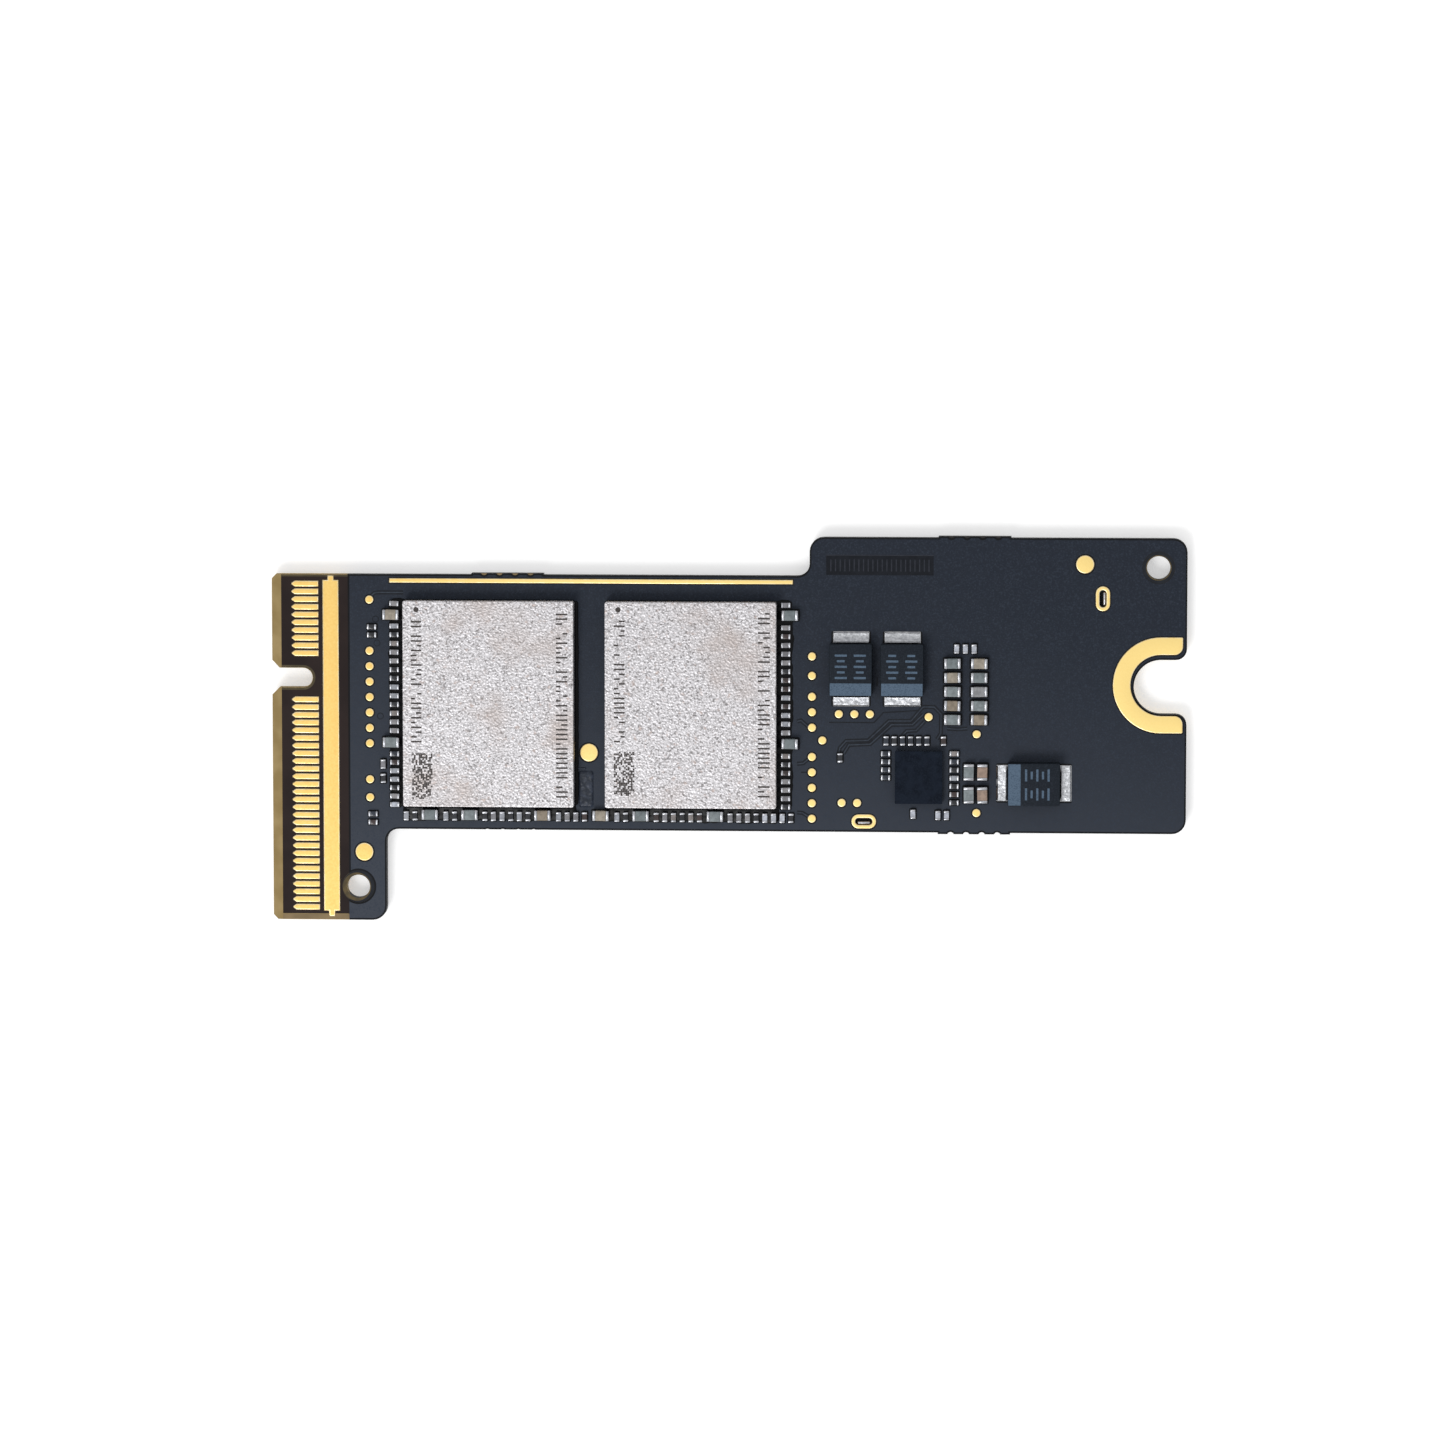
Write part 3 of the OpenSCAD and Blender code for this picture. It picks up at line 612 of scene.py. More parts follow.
def sheet_from(node, side, up, look, name, margin=0.0, cuts=()):
    """A thin sheet over one side of the card edge, in the shape of the top face of a CAD node."""
    bm = welded(node)
    flat = set(outermost(bm, TOP))
    bmesh.ops.delete(bm, geom=[f for f in bm.faces if f not in flat], context="FACES")
    for at, away in cuts:
        bmesh.ops.bisect_plane(
            bm, geom=bm.verts[:] + bm.edges[:] + bm.faces[:], plane_co=at, plane_no=away, clear_outer=True)
    if margin:
        made = bmesh.ops.inset_region(
            bm, faces=bm.faces[:], thickness=margin * MM, use_even_offset=True, use_boundary=True)
        bmesh.ops.delete(bm, geom=made["faces"], context="FACES")
    height = spot(0, 0, up, side).z
    for v in bm.verts:
        v.co.z = height
    made = bmesh.ops.extrude_face_region(bm, geom=bm.faces[:])
    for v in (g for g in made["geom"] if isinstance(g, bmesh.types.BMVert)):
        v.co.z -= side * 2 * FILM * MM
    piece(name, bm, [looks[look]])


def card_edge():
    """The resin over the card edge: an olive margin, a paler foot, and the dark copper plane under it."""
    mask_end = (spot(WINDOW_END + 0.05, 0), (1, 0, 0))
    foot = (spot(0, WINDOW_FOOT), (0, -1, 0))
    above_foot = (spot(0, WINDOW_FOOT), (0, 1, 0))
    for side, end in ((TOP, "top"), (BACK, "back")):
        sheet_from("laminate_upper", side, FILM / 2 - mask_t, "resin_margin", f"resin_margin_{end}",
                   0.03, (mask_end, foot))
        sheet_from("laminate_upper", side, FILM / 2 - mask_t, "resin_foot", f"resin_foot_{end}",
                   0.03, (mask_end, above_foot))
        sheet_from("inner_copper_plane", side, FILM - mask_t, "window", f"plane_window_{end}",
                   cuts=(mask_end, foot))


MOUNTS = {mount["name"]: mount for mount in frame["record"]["mounts"]}
TOOLING_HOLES = [plan(Vector(MOUNTS[name]["pos_m"])) for name in ("tooling_hole_tongue", "tooling_hole_end")]
WINDOW_END = plan(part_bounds("solder_mask_top")[0])[0]
WINDOW_FOOT = 0.31
TRACE_W = 0.1
GAP_W = 0.085


def trace(bm, path):
    """A raised copper trace under the mask."""
    half = TRACE_W / 2
    sweep(bm, path, [(-half, -0.005), (-half * 0.6, 0.014), (half * 0.6, 0.014), (half, -0.005)])


def gap(bm, path, w, up):
    """The darker strip of mask where there is no copper under it."""
    half = w / 2
    sweep(bm, path, [(-half, -0.006), (-half, up), (half, up), (half, -0.006)])


# ---------------------------------------------------------------- chip parts

def end_layers(centre, size, turn, h, skirt):
    """One soldered metal end: a block with soft edges on a hollow foot of solder."""
    def at(inset, up):
        return rectangle(centre, (size[0] - 2 * inset, size[1] - inset), 0.03, turn), up
    soft = min(size[0], size[1]) * 0.1
    return [at(0, 0), at(skirt * 0.5, 0.07 * h), at(skirt * 0.85, 0.28 * h), at(skirt, 0.6 * h),
            at(skirt, 0.86 * h), at(skirt + 0.25 * soft, 0.97 * h), at(skirt + soft, h)]


def body_layers(centre, size, turn, h):
    """The ceramic or glass body of a chip part, with its long edges softened."""
    def at(inset, up):
        return rectangle(centre, (size[0], size[1] - 2 * inset), 0.012, turn), up
    return [at(0, 0.02), at(0, h - 0.03), at(0.008, h - 0.008), at(0.03, h)]


# Where the paler and the redder capacitors stand: centre and radius
PALE_PATCHES = [((44.76, 17.75), 0.8), ((42.6, 7.0), 1.3), ((32.4, 6.75), 0.8), ((7.92, 7.5), 0.2)]
CLAY_PATCHES = [((45.88, 9.08), 1.0)]


def chips(name, body_node, end_node, shades, side=TOP, seed=1, fresh=None):
    """Chip parts: one piece for the bodies of a node, and the places of all its parts for the rest.
    fresh is (a shade, the patches where the parts have it)."""
    rng = random.Random(seed)
    ends = solids(end_node)
    bm = bmesh.new()
    placed = []
    for centre, size, low, high in solids(body_node):
        pair = sorted(ends, key=lambda end: math.dist(end[0], centre))[:2]
        along_x = abs(pair[0][0][0] - pair[1][0][0]) > abs(pair[0][0][1] - pair[1][0][1])
        turn = 0 if along_x else 90
        if turn:
            size = size[::-1]
        h = (high - low) / MM
        wobble = rng.uniform(-1.5, 1.5)
        shade = rng.randrange(len(shades))
        if fresh and any(math.dist(centre, at) < r for at, r in fresh[1]):
            shade = len(shades)
        loft(bm, body_layers(centre, (size[0] + 0.02, size[1]), turn + wobble, h), side, shade)
        placed.append((centre, pair, turn, wobble))
    used = shades + [fresh[0]] if fresh else shades
    piece(name, bm, [looks[s] for s in used], [body_node])
    return placed


def chip_ends(name, end_node, placed, skirt, side=TOP, seed=2):
    """The soldered ends of chip parts, as one piece."""
    rng = random.Random(seed)
    bm = bmesh.new()
    for centre, pair, turn, wobble in placed:
        spin = Matrix.Rotation(math.radians(wobble), 2)
        for end_centre, size, low, high in pair:
            if turn:
                size = size[::-1]
            away = spin @ (Vector(end_centre) - Vector(centre)) + Vector(centre)
            h = (high - low) / MM
            # The three lowest bands, the solder foot, take the solder painted dark as painted reflection.
            verts = loft(bm, end_layers(away, size, turn + wobble, h, skirt), side, foot=(3, 1))
            roughen(verts, 0.008, 0.12, rng.uniform(0, 90))
    piece(name, bm, [looks["tin"], looks["solder_foot_painted_dark"]], [end_node], crease=70)


def part_box(part):
    """The plan outline of one chip part over both its ends: (centre, size)."""
    pair = part[1]
    xs = [c[0] + s * size[0] / 2 for c, size, _, _ in pair for s in (-1, 1)]
    ys = [c[1] + s * size[1] / 2 for c, size, _, _ in pair for s in (-1, 1)]
    return ((min(xs) + max(xs)) / 2, (min(ys) + max(ys)) / 2), (max(xs) - min(xs), max(ys) - min(ys))


def all_chips():
    large_grey = chips("large_capacitor_bodies_grey", "large_capacitors_grey", "large_capacitor_terminals",
                       ["ceramic_grey", "ceramic_grey", "ceramic_stone", "ceramic_slate"],
                       seed=3)
    large_tan = chips("large_capacitor_bodies_tan", "large_capacitors_tan", "large_capacitor_terminals",
                      ["ceramic_tan", "ceramic_brown"], seed=4,
                      fresh=("ceramic_clay", CLAY_PATCHES))
    small = chips("small_capacitor_bodies", "small_capacitors", "small_capacitor_terminals",
                  ["ceramic_warm", "ceramic_pale", "ceramic_dim", "ceramic_warm", "ceramic_rose"],
                  seed=5, fresh=("ceramic_white", PALE_PATCHES))
    dark = chips("resistor_bodies", "resistors", "resistor_terminals",
                 ["glass_black", "glass_red", "glass_black", "glass_blue"], seed=6)
    back = chips("back_capacitor_bodies", "back_capacitors", "back_capacitor_terminals",
                 ["ceramic_grey", "ceramic_tan"], BACK, seed=7)
    chip_ends("large_capacitor_ends", "large_capacitor_terminals", large_grey + large_tan, 0.014, seed=8)
    chip_ends("small_capacitor_ends", "small_capacitor_terminals", small, 0.012, seed=9)
    chip_ends("resistor_ends", "resistor_terminals", dark, 0.012, seed=10)
    chip_ends("back_capacitor_ends", "back_capacitor_terminals", back, 0.014, BACK, seed=11)
    return large_grey + large_tan, small + dark, back


# ---------------------------------------------------------------- flash packages

def package(k):
    """The metal shield of a flash package, with its top edge turned over a small radius."""
    node = f"flash_{k}_shield"
    centre, size = plan_box(node)
    h0, h1 = (over_board(corner.z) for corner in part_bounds(node))
    outline = rectangle(centre, size, 0.14, steps=4)
    bm = bmesh.new()
    loft(bm, stack(outline, [(0, h0), (0, h1 - 0.035), (0.01, h1 - 0.01), (0.035, h1), (0.08, h1)]))
    piece(f"flash_{k}_metal_shield", bm, [looks["shield"]], [node])


# Where each package carries its marks, from its own lower left corner: columns are (x0, x1, y0, y1)
FLASH_MARKS = {
    "a": {"dot": (0.89, 12.74), "left": (0.54, 1.22, 4.05, 12.26), "code": (0.6, 1.92, 0.49, 3.46),
          "right": (9.91, 10.66, 0.54, 12.82)},
    "b": {"dot": (0.87, 12.8), "left": (0.6, 1.3, 4.15, 12.36), "code": (0.59, 1.87, 0.79, 3.69),
          "right": (9.86, 10.64, 0.65, 12.84)},
}
MARK_DOT_R = 0.17
TICK_W = 0.11
TICK_PITCH = 0.31
# The share of the second ticks left out, the lengths of the rest, and the share of the field's filled cells
TICK_SKIP = 0.28
TICK_SHARES = (1.0, 1.0, 0.55, 0.4)
CODE_CELL = 0.11
CODE_FILL = 0.52


def etched_marks(k, rng):
    """Plain ticks and a field of random cells where the package is marked. They spell nothing."""
    low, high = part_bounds(f"flash_{k}_shield")
    x0, y0 = plan(low)
    h = over_board(high.z) + FILM
    places = FLASH_MARKS[k]
    bm = bmesh.new()
    film(bm, disc((x0 + places["dot"][0], y0 + places["dot"][1]), MARK_DOT_R, 20), h)
    for column in ("left", "right"):
        left, right, bottom, top = places[column]
        count = round((top - bottom) / TICK_PITCH)
        for i in range(count):
            if i % 2 and rng.random() < TICK_SKIP:
                continue
            w = (right - left) * rng.choice(TICK_SHARES)
            shift = rng.choice((-1, 1)) * ((right - left) - w) / 2
            at = (x0 + (left + right) / 2 + shift, y0 + bottom + (i + 0.5) * TICK_PITCH)
            film(bm, rectangle(at, (w, TICK_W), 0.02, steps=1), h)
    left, right, bottom, top = places["code"]
    columns, rows = round((right - left) / CODE_CELL), round((top - bottom) / CODE_CELL)
    for i in range(columns):
        for j in range(rows):
            if rng.random() < CODE_FILL:
                at = (x0 + left + (i + 0.5) * CODE_CELL, y0 + bottom + (j + 0.5) * CODE_CELL)
                film(bm, rectangle(at, (CODE_CELL * 0.96, CODE_CELL * 0.96), 0.01, steps=1), h)
    piece(f"flash_{k}_marks", bm, [looks["etched_mark"]])


# How far the underfill runs out on each side of a package: left, right, bottom, top
UNDERFILL_REACH = {"a": (0.98, 0.26, 1.02, 0.05), "b": (0.1, 1.0, 1.02, 0.05)}
# Its profile: how far out, as a share of that reach where it is positive, and how high
UNDERFILL_PROFILE = [
    (-0.02, 0.0), (-0.02, 0.36), (0.06, 0.2), (0.22, 0.11), (0.6, 0.075), (0.9, 0.05), (1.0, 0.0)]


def underfill(k):
    """The glossy bead that crept out from under a package, wide where it wets the rows of chip parts."""
    centre, size = plan_box(f"flash_{k}_shield")
    left, right, bottom, top = UNDERFILL_REACH[k]
    path = resample(rectangle(centre, (size[0] - 0.04, size[1] - 0.04), 0.14, steps=6), 0.16)
    outward = offset(path, 1.0)
    bm = bmesh.new()
    rows = [[] for _ in UNDERFILL_PROFILE]
    for (x, y), (ox, oy) in zip(path, outward):
        nx, ny = ox - x, oy - y
        length = math.hypot(nx, ny)
        nx, ny = nx / length, ny / length
        reach = (left * max(0, -nx) ** 6 + right * max(0, nx) ** 6
                 + bottom * max(0, -ny) ** 6 + top * max(0, ny) ** 6)
        wave = noise.noise(Vector((x * 0.9, y * 0.9, 3.0)))
        wave += 0.5 * noise.noise(Vector((x * 2.7, y * 2.7, 8.0)))
        reach = max(0.06, reach + 0.16 * wave * min(1, reach))
        for row, (share, up) in zip(rows, UNDERFILL_PROFILE):
            out = share if share < 0 else share * reach
            lift = up * (1 + 0.25 * noise.noise(Vector((x * 3, y * 3, share * 5))))
            row.append(bm.verts.new(spot(x + nx * out, y + ny * out, lift)))
    for a, b in zip(rows, rows[1:] + rows[:1]):
        skin(bm, a, b)
    piece(f"flash_{k}_underfill_bead", bm, [looks["underfill"]],
          [f"flash_{k}_underfill"], crease=80)


# The epoxy strip: its two edges from the package's right one, its foot from the lower one, and its own size
STRIP_REACH = (0.22, 1.2)
STRIP_FOOT = -0.1
STRIP_L = 2.4
STRIP_H = 0.09
STRIP_R = 0.22


def blanket(bm, low, high, height, rise, crumple, r, seed, step=0.05):
    """A sheet over a rectangle with corners of radius r that swells from its border to a crumpled top."""
    nx, ny = round((high[0] - low[0]) / step), round((high[1] - low[1]) / step)
    grid = []
    for j in range(ny + 1):
        row = []
        for i in range(nx + 1):
            x = low[0] + (high[0] - low[0]) * i / nx
            y = low[1] + (high[1] - low[1]) * j / ny
            inward = (min(x - low[0], high[0] - x), min(y - low[1], high[1] - y))
            in_corner = [max(0, r - d) for d in inward]
            border = r - math.hypot(*in_corner) if all(in_corner) else min(inward)
            swell = math.sqrt(min(1, border / rise)) if border > 0 else -0.2
            fold = noise.noise(Vector((x * 5, y * 2.4, seed)))
            fold += 0.5 * noise.noise(Vector((x * 11, y * 6, seed)))
            row.append(bm.verts.new(spot(x, y, swell * (height + crumple * fold))))
        grid.append(row)
    for a, b in zip(grid, grid[1:]):
        skin(bm, a, b, closed=False)


def epoxy_strip():
    """The crumpled ribbon of epoxy beside the first package, with a lip at its far end."""
    centre, size = plan_box("flash_a_shield")
    edge, foot = centre[0] + size[0] / 2, centre[1] - size[1] / 2 + STRIP_FOOT
    left, right, top = edge + STRIP_REACH[0], edge + STRIP_REACH[1], foot + STRIP_L
    bm = bmesh.new()
    blanket(bm, (left, foot), (right, top), STRIP_H, 0.14, 0.025, STRIP_R, 3.0)
    blanket(bm, (left - 0.05, top + 0.08), (left + 0.5, top + 0.2), 0.08, 0.04, 0.0, 0.05, 5.0, step=0.02)
    piece("underfill_strip", bm, [looks["epoxy_strip"]], crease=80)


# ---------------------------------------------------------------- power section

def power_chip():
    """The bare die of the power chip, and the film over its back."""
    centre, size = plan_box("power_chip_coating")
    h0, h1 = (over_board(corner.z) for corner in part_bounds("power_chip_die"))
    h2 = over_board(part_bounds("power_chip_coating")[1].z)
    outline = rectangle(centre, size, 0.05, steps=2)
    bm = bmesh.new()
    loft(bm, stack(outline, [(0.01, h0), (0, h0 + 0.02), (0, h1)]))
    piece("power_chip_silicon", bm, [looks["silicon"]], ["power_chip_die"])
    bm = bmesh.new()
    loft(bm, stack(outline, [(0, h1 - 0.001), (0, h2 - 0.012), (0.012, h2)]))
    piece("power_chip_film", bm, [looks["chip_coating"]], ["power_chip_coating"])


def inductor_frame(k):
    """Centre, core size and turn of an inductor, with the ink stripe on its -Y end before it is turned."""
    centre, size = plan_box(f"inductor_{k}_core")
    return (centre, size, 0) if size[0] < size[1] else (centre, size[::-1], -90)


# The ink on an inductor: the stripe's length and inset, and two columns of bars
STRIPE_L = 0.79
STRIPE_INSET = 0.05
INK_COLUMNS = (-0.62, 0.6)
INK_TOP = 0.95
INK_PITCH = 0.36
INK_BAR_W = (0.5, 0.78)
INK_BAR_H = 0.14
# How much of a foil terminal's length stands up against the core
FOIL_FOLD = 0.35


def inductor(k):
    """A shielded inductor: its core, the ink on it, and terminals of crumpled foil on lands of solder."""
    centre, size, turn = inductor_frame(k)
    h = over_board(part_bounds(f"inductor_{k}_core")[1].z)
    c, s = math.cos(math.radians(turn)), math.sin(math.radians(turn))

    def place(x, y):
        return centre[0] + c * x - s * y, centre[1] + s * x + c * y

    def patch(x, y, w, l):
        return rectangle(place(x, y), (w, l), 0.02, turn, steps=2)

    bm = bmesh.new()
    outline = rectangle(centre, size, 0.12, turn)
    loft(bm, stack(outline, [(0.03, 0.02), (0, 0.08), (0, h - 0.07), (0.02, h - 0.02), (0.06, h - 0.004)]))
    piece(f"inductor_{k}_body", bm, [looks["inductor_core"]], [f"inductor_{k}_core"])

    bm = bmesh.new()
    stripe_y = STRIPE_INSET + (STRIPE_L - size[1]) / 2
    film(bm, patch(0, stripe_y, size[0] - 2 * STRIPE_INSET, STRIPE_L), h)
    for column in INK_COLUMNS:
        for i in range(5):
            film(bm, patch(column, INK_TOP - i * INK_PITCH, INK_BAR_W[(i + k) % 2], INK_BAR_H), h)
    piece(f"inductor_{k}_ink", bm, [looks["ink"]])

    bm = bmesh.new()
    term_size = solids(f"inductor_{k}_terminals")[0][1]
    rise = over_board(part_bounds(f"inductor_{k}_terminals")[1].z)
    wide, deep = max(term_size), min(term_size)
    inner = size[1] / 2 - 0.01
    steps_u, steps_v = 26, 12
    for end in (-1, 1):
        rows = []
        for j in range(steps_v + 1):
            t = j / steps_v
            if t < FOIL_FOLD:
                y, z = inner + 0.1, rise + (0.17 - rise) * t / FOIL_FOLD
            else:
                y, z = inner + 0.1 + (deep - 0.09) * (t - FOIL_FOLD) / (1 - FOIL_FOLD), 0.14
            row = []
            for i in range(steps_u + 1):
                u = (i / steps_u - 0.5) * wide
                p = Vector((u * 4 + 13 * k, y * 5, z * 5 + end))
                crush = noise.noise(p) + 0.5 * noise.noise(p * 2.3)
                px, py = place(u * (1 - 0.01 * crush), end * (y + 0.012 * crush))
                row.append(bm.verts.new(spot(px, py, max(0.06, z + 0.035 * crush))))
            rows.append(row)
        for a, b in zip(rows, rows[1:]):
            skin(bm, a, b, closed=False)
        foot = [bm.verts.new(spot(*plan(v.co), 0.0)) for v in rows[-1]]
        skin(bm, rows[-1], foot, closed=False)
        land = rectangle(place(0, end * (inner + deep / 2 + 0.02)), (wide + 0.08, deep + 0.2), 0.05, turn)
        loft(bm, [(land, 0), (offset(land, -0.07), 0.05), (offset(land, -0.1), 0.1)], material=1)
    piece(f"inductor_{k}_foil_terminals", bm, [looks["foil"], looks["solder"]],
          [f"inductor_{k}_terminals"], crease=70)


# ---------------------------------------------------------------- surface detail of the board

# Traces that run in the open, as bends of a path
TRACES = [
    [(36.65, 11.04), (36.7, 11.3), (37.1, 11.75), (38.52, 11.8), (39.86, 13.06), (41.28, 13.07),
     (42.05, 13.98), (42.76, 13.98), (43.21, 13.53), (43.2, 12.3), (42.96, 11.9)],
    [(36.95, 10.95), (37.29, 11.5), (38.66, 11.56), (40.02, 12.82), (41.36, 12.83), (42.06, 13.5)],
    [(42.16, 13.06), (41.6, 12.45), (41.0, 12.42), (40.74, 12.15)],
    [(6.45, 21.0), (6.62, 21.16), (6.85, 21.2), (8.5, 21.2)],
    [(33.95, 13.0), (34.2, 13.06), (34.42, 12.86), (34.64, 12.68)],
    [(34.66, 10.56), (34.35, 10.3), (33.95, 10.25)],
    [(33.95, 7.1), (34.3, 7.08), (34.66, 6.86)],
    [(44.9, 12.6), (44.3, 12.55), (43.6, 12.6)],
]
# Edges of the copper pour, as far as they show
POUR_EDGES = [
    [(36.0, 12.95), (38.9, 12.95), (39.5, 13.6), (41.8, 13.75)],
    [(34.2, 9.71), (34.6, 9.71)],
    [(39.1, 15.9), (39.1, 15.3)],
]
# The length of the dark film under each inductor: its land, with painted shade round the terminals.
INDUCTOR_LAND_AND_SHADE_L = 4.86
VIA_LOOPS = [(6.69, 19.47), (6.78, 17.92), (6.98, 13.19)]
VIA_R = 0.17
# How wide the dark line is round each kind of plating
CLEARANCES = {"test_pads_top": 0.07, "fiducials": 0.08, "plated_slots": 0.06, "hold_down_ring_top": 0.06,
              "shield_strip": 0.05}
BACK_CLEARANCE = 0.09
# The dark line along the edge of the board
EDGE_LINE_W = 0.11


def lands(bm, parts, grow, r, side=TOP):
    """The dark land under each chip part, larger than the part by this much: its mask opening, with painted
    contact shadow round the part.
    """
    for part in parts:
        centre, size = part_box(part)
        film(bm, rectangle(centre, (size[0] + grow[0], size[1] + grow[1]), r), FILM / 2, side)


def board_relief(large, small, back):
    """Traces, clearances, and component lands with painted contact shadow, as they show through the mask."""
    dark = bmesh.new()
    soft = bmesh.new()
    raised = bmesh.new()
    gaps = [(path, TRACE_W + 2 * GAP_W) for path in TRACES] + [(path, GAP_W) for path in POUR_EDGES]
    for i, (path, width) in enumerate(gaps):
        gap(soft, path, width, FILM * (1 - 0.4 * i / len(gaps)))
    for path in TRACES:
        trace(raised, path)
    for x, y in VIA_LOOPS:
        halo(soft, disc((x, y), VIA_R, 20), 0.05, 1.1 * FILM)
    piece("trace_gaps_top", soft, [looks["trace_gap"]])
    for node, width in CLEARANCES.items():
        for outline in outer_rims(node):
            halo(dark, outline, width)
    lands(dark, large, (0.2, 0.16), 0.1)
    lands(dark, small, (0.14, 0.12), 0.07)
    for k in (1, 2, 3):
        centre, size, turn = inductor_frame(k)
        # A dark film under each inductor, longer than its core: painted shade round the terminals.
        film(dark, rectangle(centre, (size[0] - 0.2, INDUCTOR_LAND_AND_SHADE_L), 0.1, turn), FILM / 2)
    outline = outer_rims("solder_mask_top")[0]
    at_window = [x < WINDOW_END + 0.01 for x, _ in outline]
    start = next(i for i, at in enumerate(at_window) if at and at_window[i - 1])
    outline = outline[start:] + outline[:start]
    sweep(dark, outline, [(-EDGE_LINE_W, -0.006), (-EDGE_LINE_W, FILM), (0, FILM), (0, -0.006)])
    piece("mask_clearances_and_painted_shade_top", dark, [looks["mask_gap_and_painted_shade"]])
    piece("mask_traces_top", raised, [looks["mask_trace"]])

    dark = bmesh.new()
    for node in ("test_pads_bottom", "hold_down_ring_bottom"):
        for outline in outer_rims(node, BACK):
            halo(dark, outline, BACK_CLEARANCE, side=BACK)
    lands(dark, back, (0.34, 0.26), 0.12, BACK)
    piece("mask_clearances_and_painted_shade_back", dark, [looks["mask_gap_and_painted_shade"]])


MARK_PANEL = ((35.8, 22.45), (42.7, 23.7))
PANEL_BARS = 22
PANEL_BAR = (0.07, 0.78)
PANEL_MARGIN = 0.15


def mark_panel():
    """The panel that carries the board's marking, here a plain row of bars on a darker ground."""
    (x0, y0), (x1, y1) = MARK_PANEL
    bm = bmesh.new()
    film(bm, rectangle(((x0 + x1) / 2, (y0 + y1) / 2), (x1 - x0, y1 - y0), 0.03, steps=1), -0.011)
    piece("mark_panel_floor", bm, [looks["panel_floor"]])
    bm = bmesh.new()
    pitch = (x1 - x0 - 2 * PANEL_MARGIN) / PANEL_BARS
    for i in range(PANEL_BARS):
        at = (x0 + PANEL_MARGIN + (i + 0.5) * pitch, (y0 + y1) / 2)
        film(bm, rectangle(at, PANEL_BAR, 0.02, steps=1), -0.006)
    film(bm, rectangle(((x0 + x1) / 2, y1 + 0.03), (x1 - x0, 0.06), 0.02, steps=1), FILM)
    piece("mark_panel_bars", bm, [looks["panel_bar"]])


# ---------------------------------------------------------------- stage

# The table in metres: the radii and depths of its flat top and of its edge
TABLE = [(0.6, 0), (0.75, 0), (0.77, 0.01)]
# How much the white table glows of itself, which keeps the shadows pale
TABLE_GLOW = 0.41


def floor():
    """A round white table."""
    bm = bmesh.new()
    turns = [2 * math.pi * i / 96 for i in range(96)]
    rows = []
    for r, drop in TABLE:
        low = cad_low.z - drop
        rows.append([bm.verts.new((r * math.cos(a), r * math.sin(a), low)) for a in turns])
    bm.faces.new(rows[0])
    for a, b in zip(rows, rows[1:]):
        skin(bm, a, b)
    mesh = bpy.data.meshes.new("floor")
    bm.to_mesh(mesh)
    bm.free()
    finish = Finish("floor_paper", (240, 240, 240), rough=0.8, specular=0.1).bump(0.8, 0.01, 0.2)
    finish.shader.inputs["Emission Color"].default_value = (1, 1, 1, 1)
    finish.shader.inputs["Emission Strength"].default_value = TABLE_GLOW
    mesh.materials.append(finish.material)
    made = bpy.data.objects.new("floor", mesh)
    scene.collection.objects.link(made)


# Brightness of the studio by the sine of the height above the horizon: a pale backdrop, dim walls and a
# wide bright ceiling. The key lamp is placed and sized in metres.
STUDIO = [(0.0, 0.9), (0.12, 0.4), (0.5, 0.5), (0.9, 0.8), (1.0, 0.8)]
KEY_PLACE = (-0.12, -0.24, 0.42)
KEY_SIZE = 0.2
KEY_POWER = 0.9


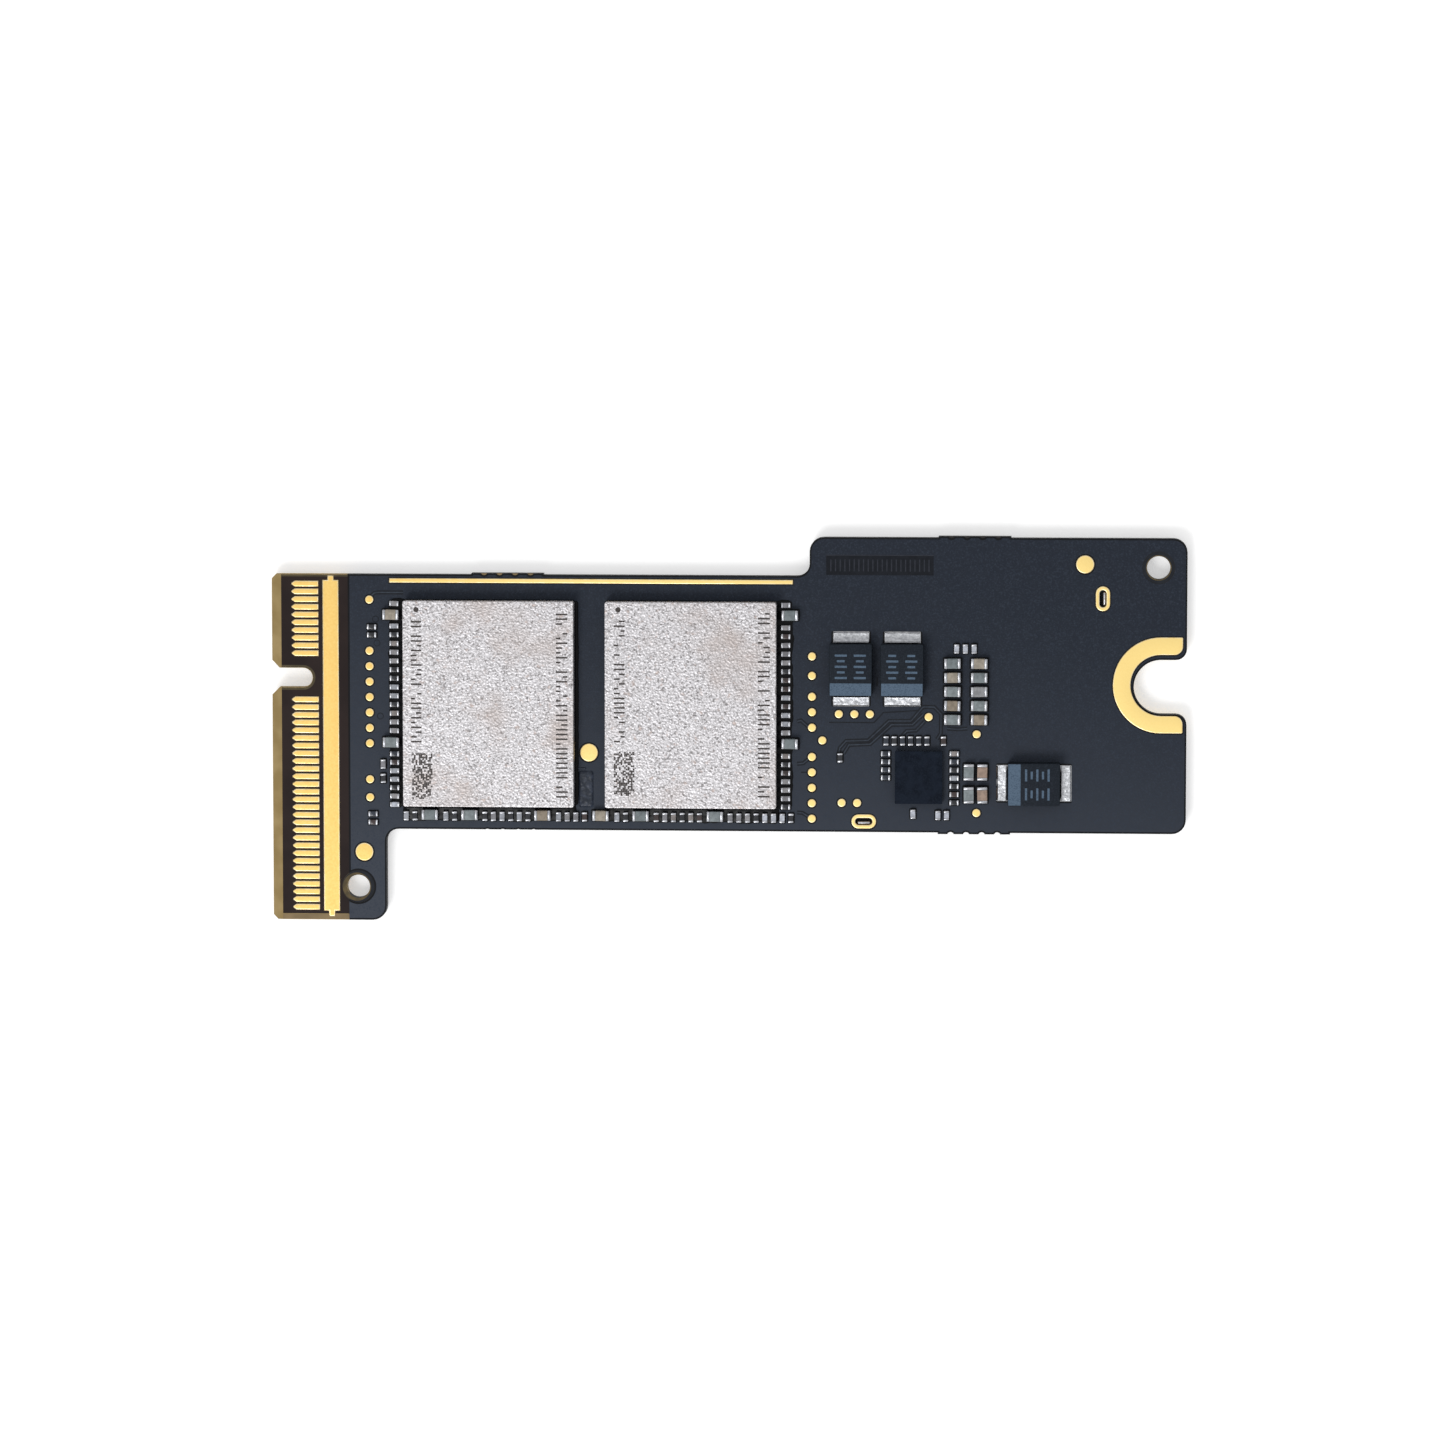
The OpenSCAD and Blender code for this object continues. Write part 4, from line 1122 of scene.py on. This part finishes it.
def lights():
    """A soft studio with one disk lamp."""
    world = bpy.data.worlds.new("studio")
    world.use_nodes = True
    tree = world.node_tree
    direction = tree.nodes.new("ShaderNodeTexCoord").outputs["Generated"]
    split = tree.nodes.new("ShaderNodeSeparateXYZ")
    ramp = tree.nodes.new("ShaderNodeValToRGB")
    stops = ramp.color_ramp.elements
    for height, _ in STUDIO[1:-1]:
        stops.new(height)
    for stop, (_, level) in zip(stops, STUDIO):
        stop.color = (level, level, level, 1)
    tree.links.new(direction, split.inputs[0])
    tree.links.new(split.outputs["Z"], ramp.inputs["Fac"])
    tree.links.new(ramp.outputs["Color"], tree.nodes["Background"].inputs["Color"])
    scene.world = world
    data = bpy.data.lights.new("key", "AREA")
    data.shape = "DISK"
    data.size = KEY_SIZE
    data.energy = KEY_POWER
    lamp = bpy.data.objects.new("key", data)
    lamp.location = KEY_PLACE
    lamp.rotation_mode = "QUATERNION"
    lamp.rotation_quaternion = (-Vector(KEY_PLACE)).to_track_quat("-Z", "Y")
    scene.collection.objects.link(lamp)


LENS = 154.7
# The turn of the view in degrees about Z, Y and X, the point looked at, and where it lies from the camera
CAMERA_TURN = (("Z", -0.34), ("Y", -3.54), ("X", 5.28))
CAMERA_TARGET = (0.16, -0.045, 1.35)
CAMERA_SIGHT = (0.465, -0.5, -400)


def camera():
    """A long lens high over the board, leaning a little towards the near side and the hold-down end."""
    data = bpy.data.cameras.new("camera")
    data.sensor_width = 36
    data.lens = LENS
    data.clip_start, data.clip_end = 0.01, 10
    made = bpy.data.objects.new("camera", data)
    turn = Matrix.Identity(3)
    for axis, angle in CAMERA_TURN:
        turn = turn @ Matrix.Rotation(math.radians(angle), 3, axis)
    pose = turn.transposed()
    position = Vector(CAMERA_TARGET) * MM - pose @ (Vector(CAMERA_SIGHT) * MM)
    made.matrix_world = Matrix.Translation(position) @ pose.to_4x4()
    scene.collection.objects.link(made)
    scene.camera = made


camera()
lights()
floor()
carry_over()
board_gold()
card_edge()
hole_rims()
stub_bites()
painted_glint_beads()
large, small, back = all_chips()
rng = random.Random(29)
for letter in ("a", "b"):
    package(letter)
    etched_marks(letter, rng)
    underfill(letter)
epoxy_strip()
power_chip()
for number in (1, 2, 3):
    inductor(number)
board_relief(large, small, back)
mark_panel()

scene.view_settings.view_transform = "Standard"
